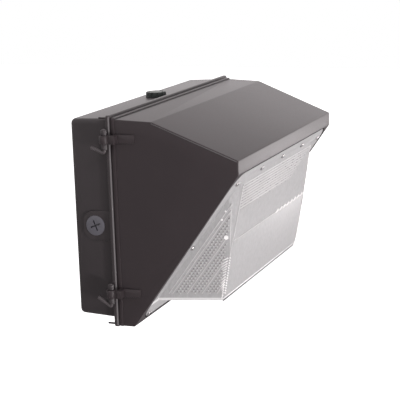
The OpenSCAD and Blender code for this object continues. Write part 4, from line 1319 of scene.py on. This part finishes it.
def conduit_plugs():
    """Cast plugs with a rounded face, a cross recess and a threaded shank."""
    face = rod("master", (0, 0, -PLUG_FACE_T), (0, 0, 0), PLUG_HEAD_R, sides=64)
    round_edges(face, PLUG_EDGE, 3, 40)
    weld(face, rod("core", (0, 0, -CORE_END), (0, 0, CORE_BITE - PLUG_FACE_T),
                   PLUG_R - CORE_INSET, sides=64))
    x, y = CROSS_HALF
    for angle in (0, math.pi / 2):
        bar = block("bar", (-x, -y, CROSS_FLOOR), (x, y, PAST))
        round_chosen(bar, CROSS_EDGE, 3, lambda a, b: abs(a.z - b.z) > 1)
        bar.data.transform(Matrix.Rotation(angle + CROSS_TURN, 4, "Z"))
        cut(face, bar)
    parts = [face, rod("shank", (0, 0, -PLUG_FACE_T - PLUG_L), (0, 0, -SHANK_START),
                       PLUG_R - SHANK_INSET, sides=64)]
    for i in range(THREADS):
        z = -PLUG_FACE_T - THREAD_START - i * THREAD_PITCH
        parts.append(rod("thread", (0, 0, z), (0, 0, z - THREAD_T), PLUG_R, PLUG_R - THREAD_FALL,
                         64))
    master = join("master", parts)
    for s, name in HANDS:
        place = (Matrix.Translation(Vector((s * PLUG_FACE, -PLUG_DEPTH, PLUG_DROP)) * MM)
                 @ Matrix.Rotation(s * math.pi / 2, 4, "Y"))
        plug = copy_at(master, "plug_cap_" + name, place)
        finish_piece(plug, FINISHES["plug_grey"], "housing", "plug_grey", "conduit_plug_" + name)
    bpy.data.objects.remove(master)


def photocell():
    """Button photocell: a notched round cap on a neck, with a tinted window let into it."""
    low, high = (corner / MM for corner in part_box("photocell_body"))
    seat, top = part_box("photocell_gasket")[1].z / MM, high.z + CAP_RISE
    y, r = (low.y + high.y) / 2, (high.x - low.x) / 2
    cap = rod("photocell_cap", (0, y, seat), (0, y, top), r, r - CAP_TAPER, 64)
    round_edges(cap, CAP_EDGE, 3, 40)
    weld(cap, rod("neck", (0, y, low.z), (0, y, seat + NECK_BITE), NECK_R, sides=40))
    cut(cap, rod("well", (0, y, top - WELL), (0, y, top + PAST), WINDOW_R + WINDOW_GAP,
                 sides=48))
    for i in range(NOTCHES):
        angle = math.tau * i / NOTCHES
        x, z = r * math.cos(angle), seat + NOTCH_FLOOR
        notch = y + r * math.sin(angle)
        cut(cap, rod("notch", (x, notch, z), (x, notch, top + PAST), NOTCH_R, sides=16))
    finish_piece(cap, FINISHES["photocell_black"], "housing", "photocell_black", "photocell_body")
    window = rod("photocell_dome", (0, y, top - WELL), (0, y, top - WINDOW_SINK), WINDOW_R,
                 WINDOW_R - WINDOW_TAPER, 48)
    round_edges(window, WINDOW_EDGE, 3, 40)
    finish_piece(window, FINISHES["photocell_window"], "housing", "photocell_window",
                 "photocell_window")


def dress_cad_nodes():
    """Gives every CAD node that stays its finish from the record's slots."""
    for part in frame["record"]["subparts"]:
        node = frame["nodes"].get(part["node"])
        if node:
            node.data.materials.clear()
            node.data.materials.append(FINISHES[part["material_slot"]])


# Camera, light and floor

def camera():
    """Fitted to the photograph's own view of the hood and housing."""
    place = Vector((-1.4090289, -0.6519841, 0.3184164))
    yaw, pitch, roll = (math.radians(v) for v in (67.9522, 12.3084, -1.8693))
    data = bpy.data.cameras.new("camera")
    data.sensor_width = 36
    data.lens = 114.2499
    eye = bpy.data.objects.new("camera", data)
    bpy.context.scene.collection.objects.link(eye)
    eye.matrix_world = (Matrix.Translation(place) @ Matrix.Rotation(-yaw, 4, "Z")
                        @ Matrix.Rotation(math.pi / 2 - pitch, 4, "X")
                        @ Matrix.Rotation(roll, 4, "Z"))
    bpy.context.scene.camera = eye


WARM = (1, 0.96, 0.965)
BACKDROP_RAYS = (("Is Camera Ray", 1), ("Is Transmission Ray", 1))


def strongest(tree, strengths):
    """The largest of a node tree's ray kinds, each times its strength."""
    path = tree.nodes.new("ShaderNodeLightPath")
    value = None
    for ray, strength in strengths:
        times = tree.nodes.new("ShaderNodeMath")
        times.operation = "MULTIPLY"
        times.inputs[1].default_value = strength
        tree.links.new(path.outputs[ray], times.inputs[0])
        if value:
            either = tree.nodes.new("ShaderNodeMath")
            either.operation = "MAXIMUM"
            tree.links.new(value, either.inputs[0])
            tree.links.new(times.outputs[0], either.inputs[1])
            times = either
        value = times.outputs[0]
    return value


def surroundings():
    """White backdrop, and a soft faintly warm studio that lights and is mirrored."""
    world = bpy.data.worlds.new("studio")
    bpy.context.scene.world = world
    world.use_nodes = True
    tree = world.node_tree
    tree.nodes.clear()
    mix = tree.nodes.new("ShaderNodeMixShader")
    studio, white = tree.nodes.new("ShaderNodeBackground"), tree.nodes.new("ShaderNodeBackground")
    studio.inputs["Color"].default_value = (*WARM, 1)
    white.inputs["Color"].default_value = (1, 1, 1, 1)
    least = tree.nodes.new("ShaderNodeMath")
    least.operation = "MAXIMUM"
    least.inputs[1].default_value = ROOM_LIGHT
    tree.links.new(strongest(tree, (("Is Glossy Ray", ROOM_GLOSS),)), least.inputs[0])
    tree.links.new(least.outputs[0], studio.inputs["Strength"])
    tree.links.new(strongest(tree, BACKDROP_RAYS), mix.inputs[0])
    tree.links.new(studio.outputs[0], mix.inputs[1])
    tree.links.new(white.outputs[0], mix.inputs[2])
    out = tree.nodes.new("ShaderNodeOutputWorld")
    tree.links.new(mix.outputs[0], out.inputs[0])


def lamp(name, place, target, size, power):
    data = bpy.data.lights.new(name, "AREA")
    data.energy = power
    data.color = WARM
    data.shape = "SQUARE"
    data.size = size
    obj = bpy.data.objects.new(name, data)
    bpy.context.scene.collection.objects.link(obj)
    obj.location = place
    obj.rotation_euler = (Vector(target) - Vector(place)).to_track_quat("-Z", "Y").to_euler()


def lamps():
    centre = Vector((0, -0.1, 0))
    lamp("key", centre + Vector((-1.3, -1.1, 1.7)), centre, size=0.8, power=14)
    lamp("front", (1.79, -1.37, -0.65), centre, size=1.2, power=53)
    lamp("edge", centre + Vector((-0.5, -0.85, -0.2)) * 2, centre, size=0.25, power=26)


def floor():
    """Pale floor well below the light, which hangs on a wall."""
    drop = 0.45
    bpy.ops.object.select_all(action="DESELECT")
    bpy.ops.mesh.primitive_plane_add(size=12, location=(0, 0, cad_box[0][2] - drop))
    ground = settle("floor")
    finish = new_material("floor_white", (0.85, 0.85, 0.85), 0.9, Specular_IOR_Level=0.2)
    mottle(finish, 3, (0.84, 0.84, 0.84), (0.86, 0.86, 0.86))
    tree = finish.node_tree
    glow = tree.nodes.new("ShaderNodeEmission")
    tree.links.new(strongest(tree, BACKDROP_RAYS), glow.inputs["Strength"])
    both = tree.nodes.new("ShaderNodeAddShader")
    out = tree.nodes["Material Output"]
    tree.links.new(shader_of(finish).outputs[0], both.inputs[0])
    tree.links.new(glow.outputs[0], both.inputs[1])
    tree.links.new(both.outputs[0], out.inputs["Surface"])
    ground.data.materials.append(finish)


camera()
surroundings()
lamps()
floor()
dress_cad_nodes()
front_hood()
hood_beads()
rear_housing()
refractor()
lower_prisms()
front_ribs()
front_glints()
front_shade()
front_grooves()
lens_gasket()
side_prisms()
lens_screws()
closing_screws()
hinge_pins()
conduit_plugs()
photocell()

bpy.context.scene.view_settings.view_transform = "Standard"
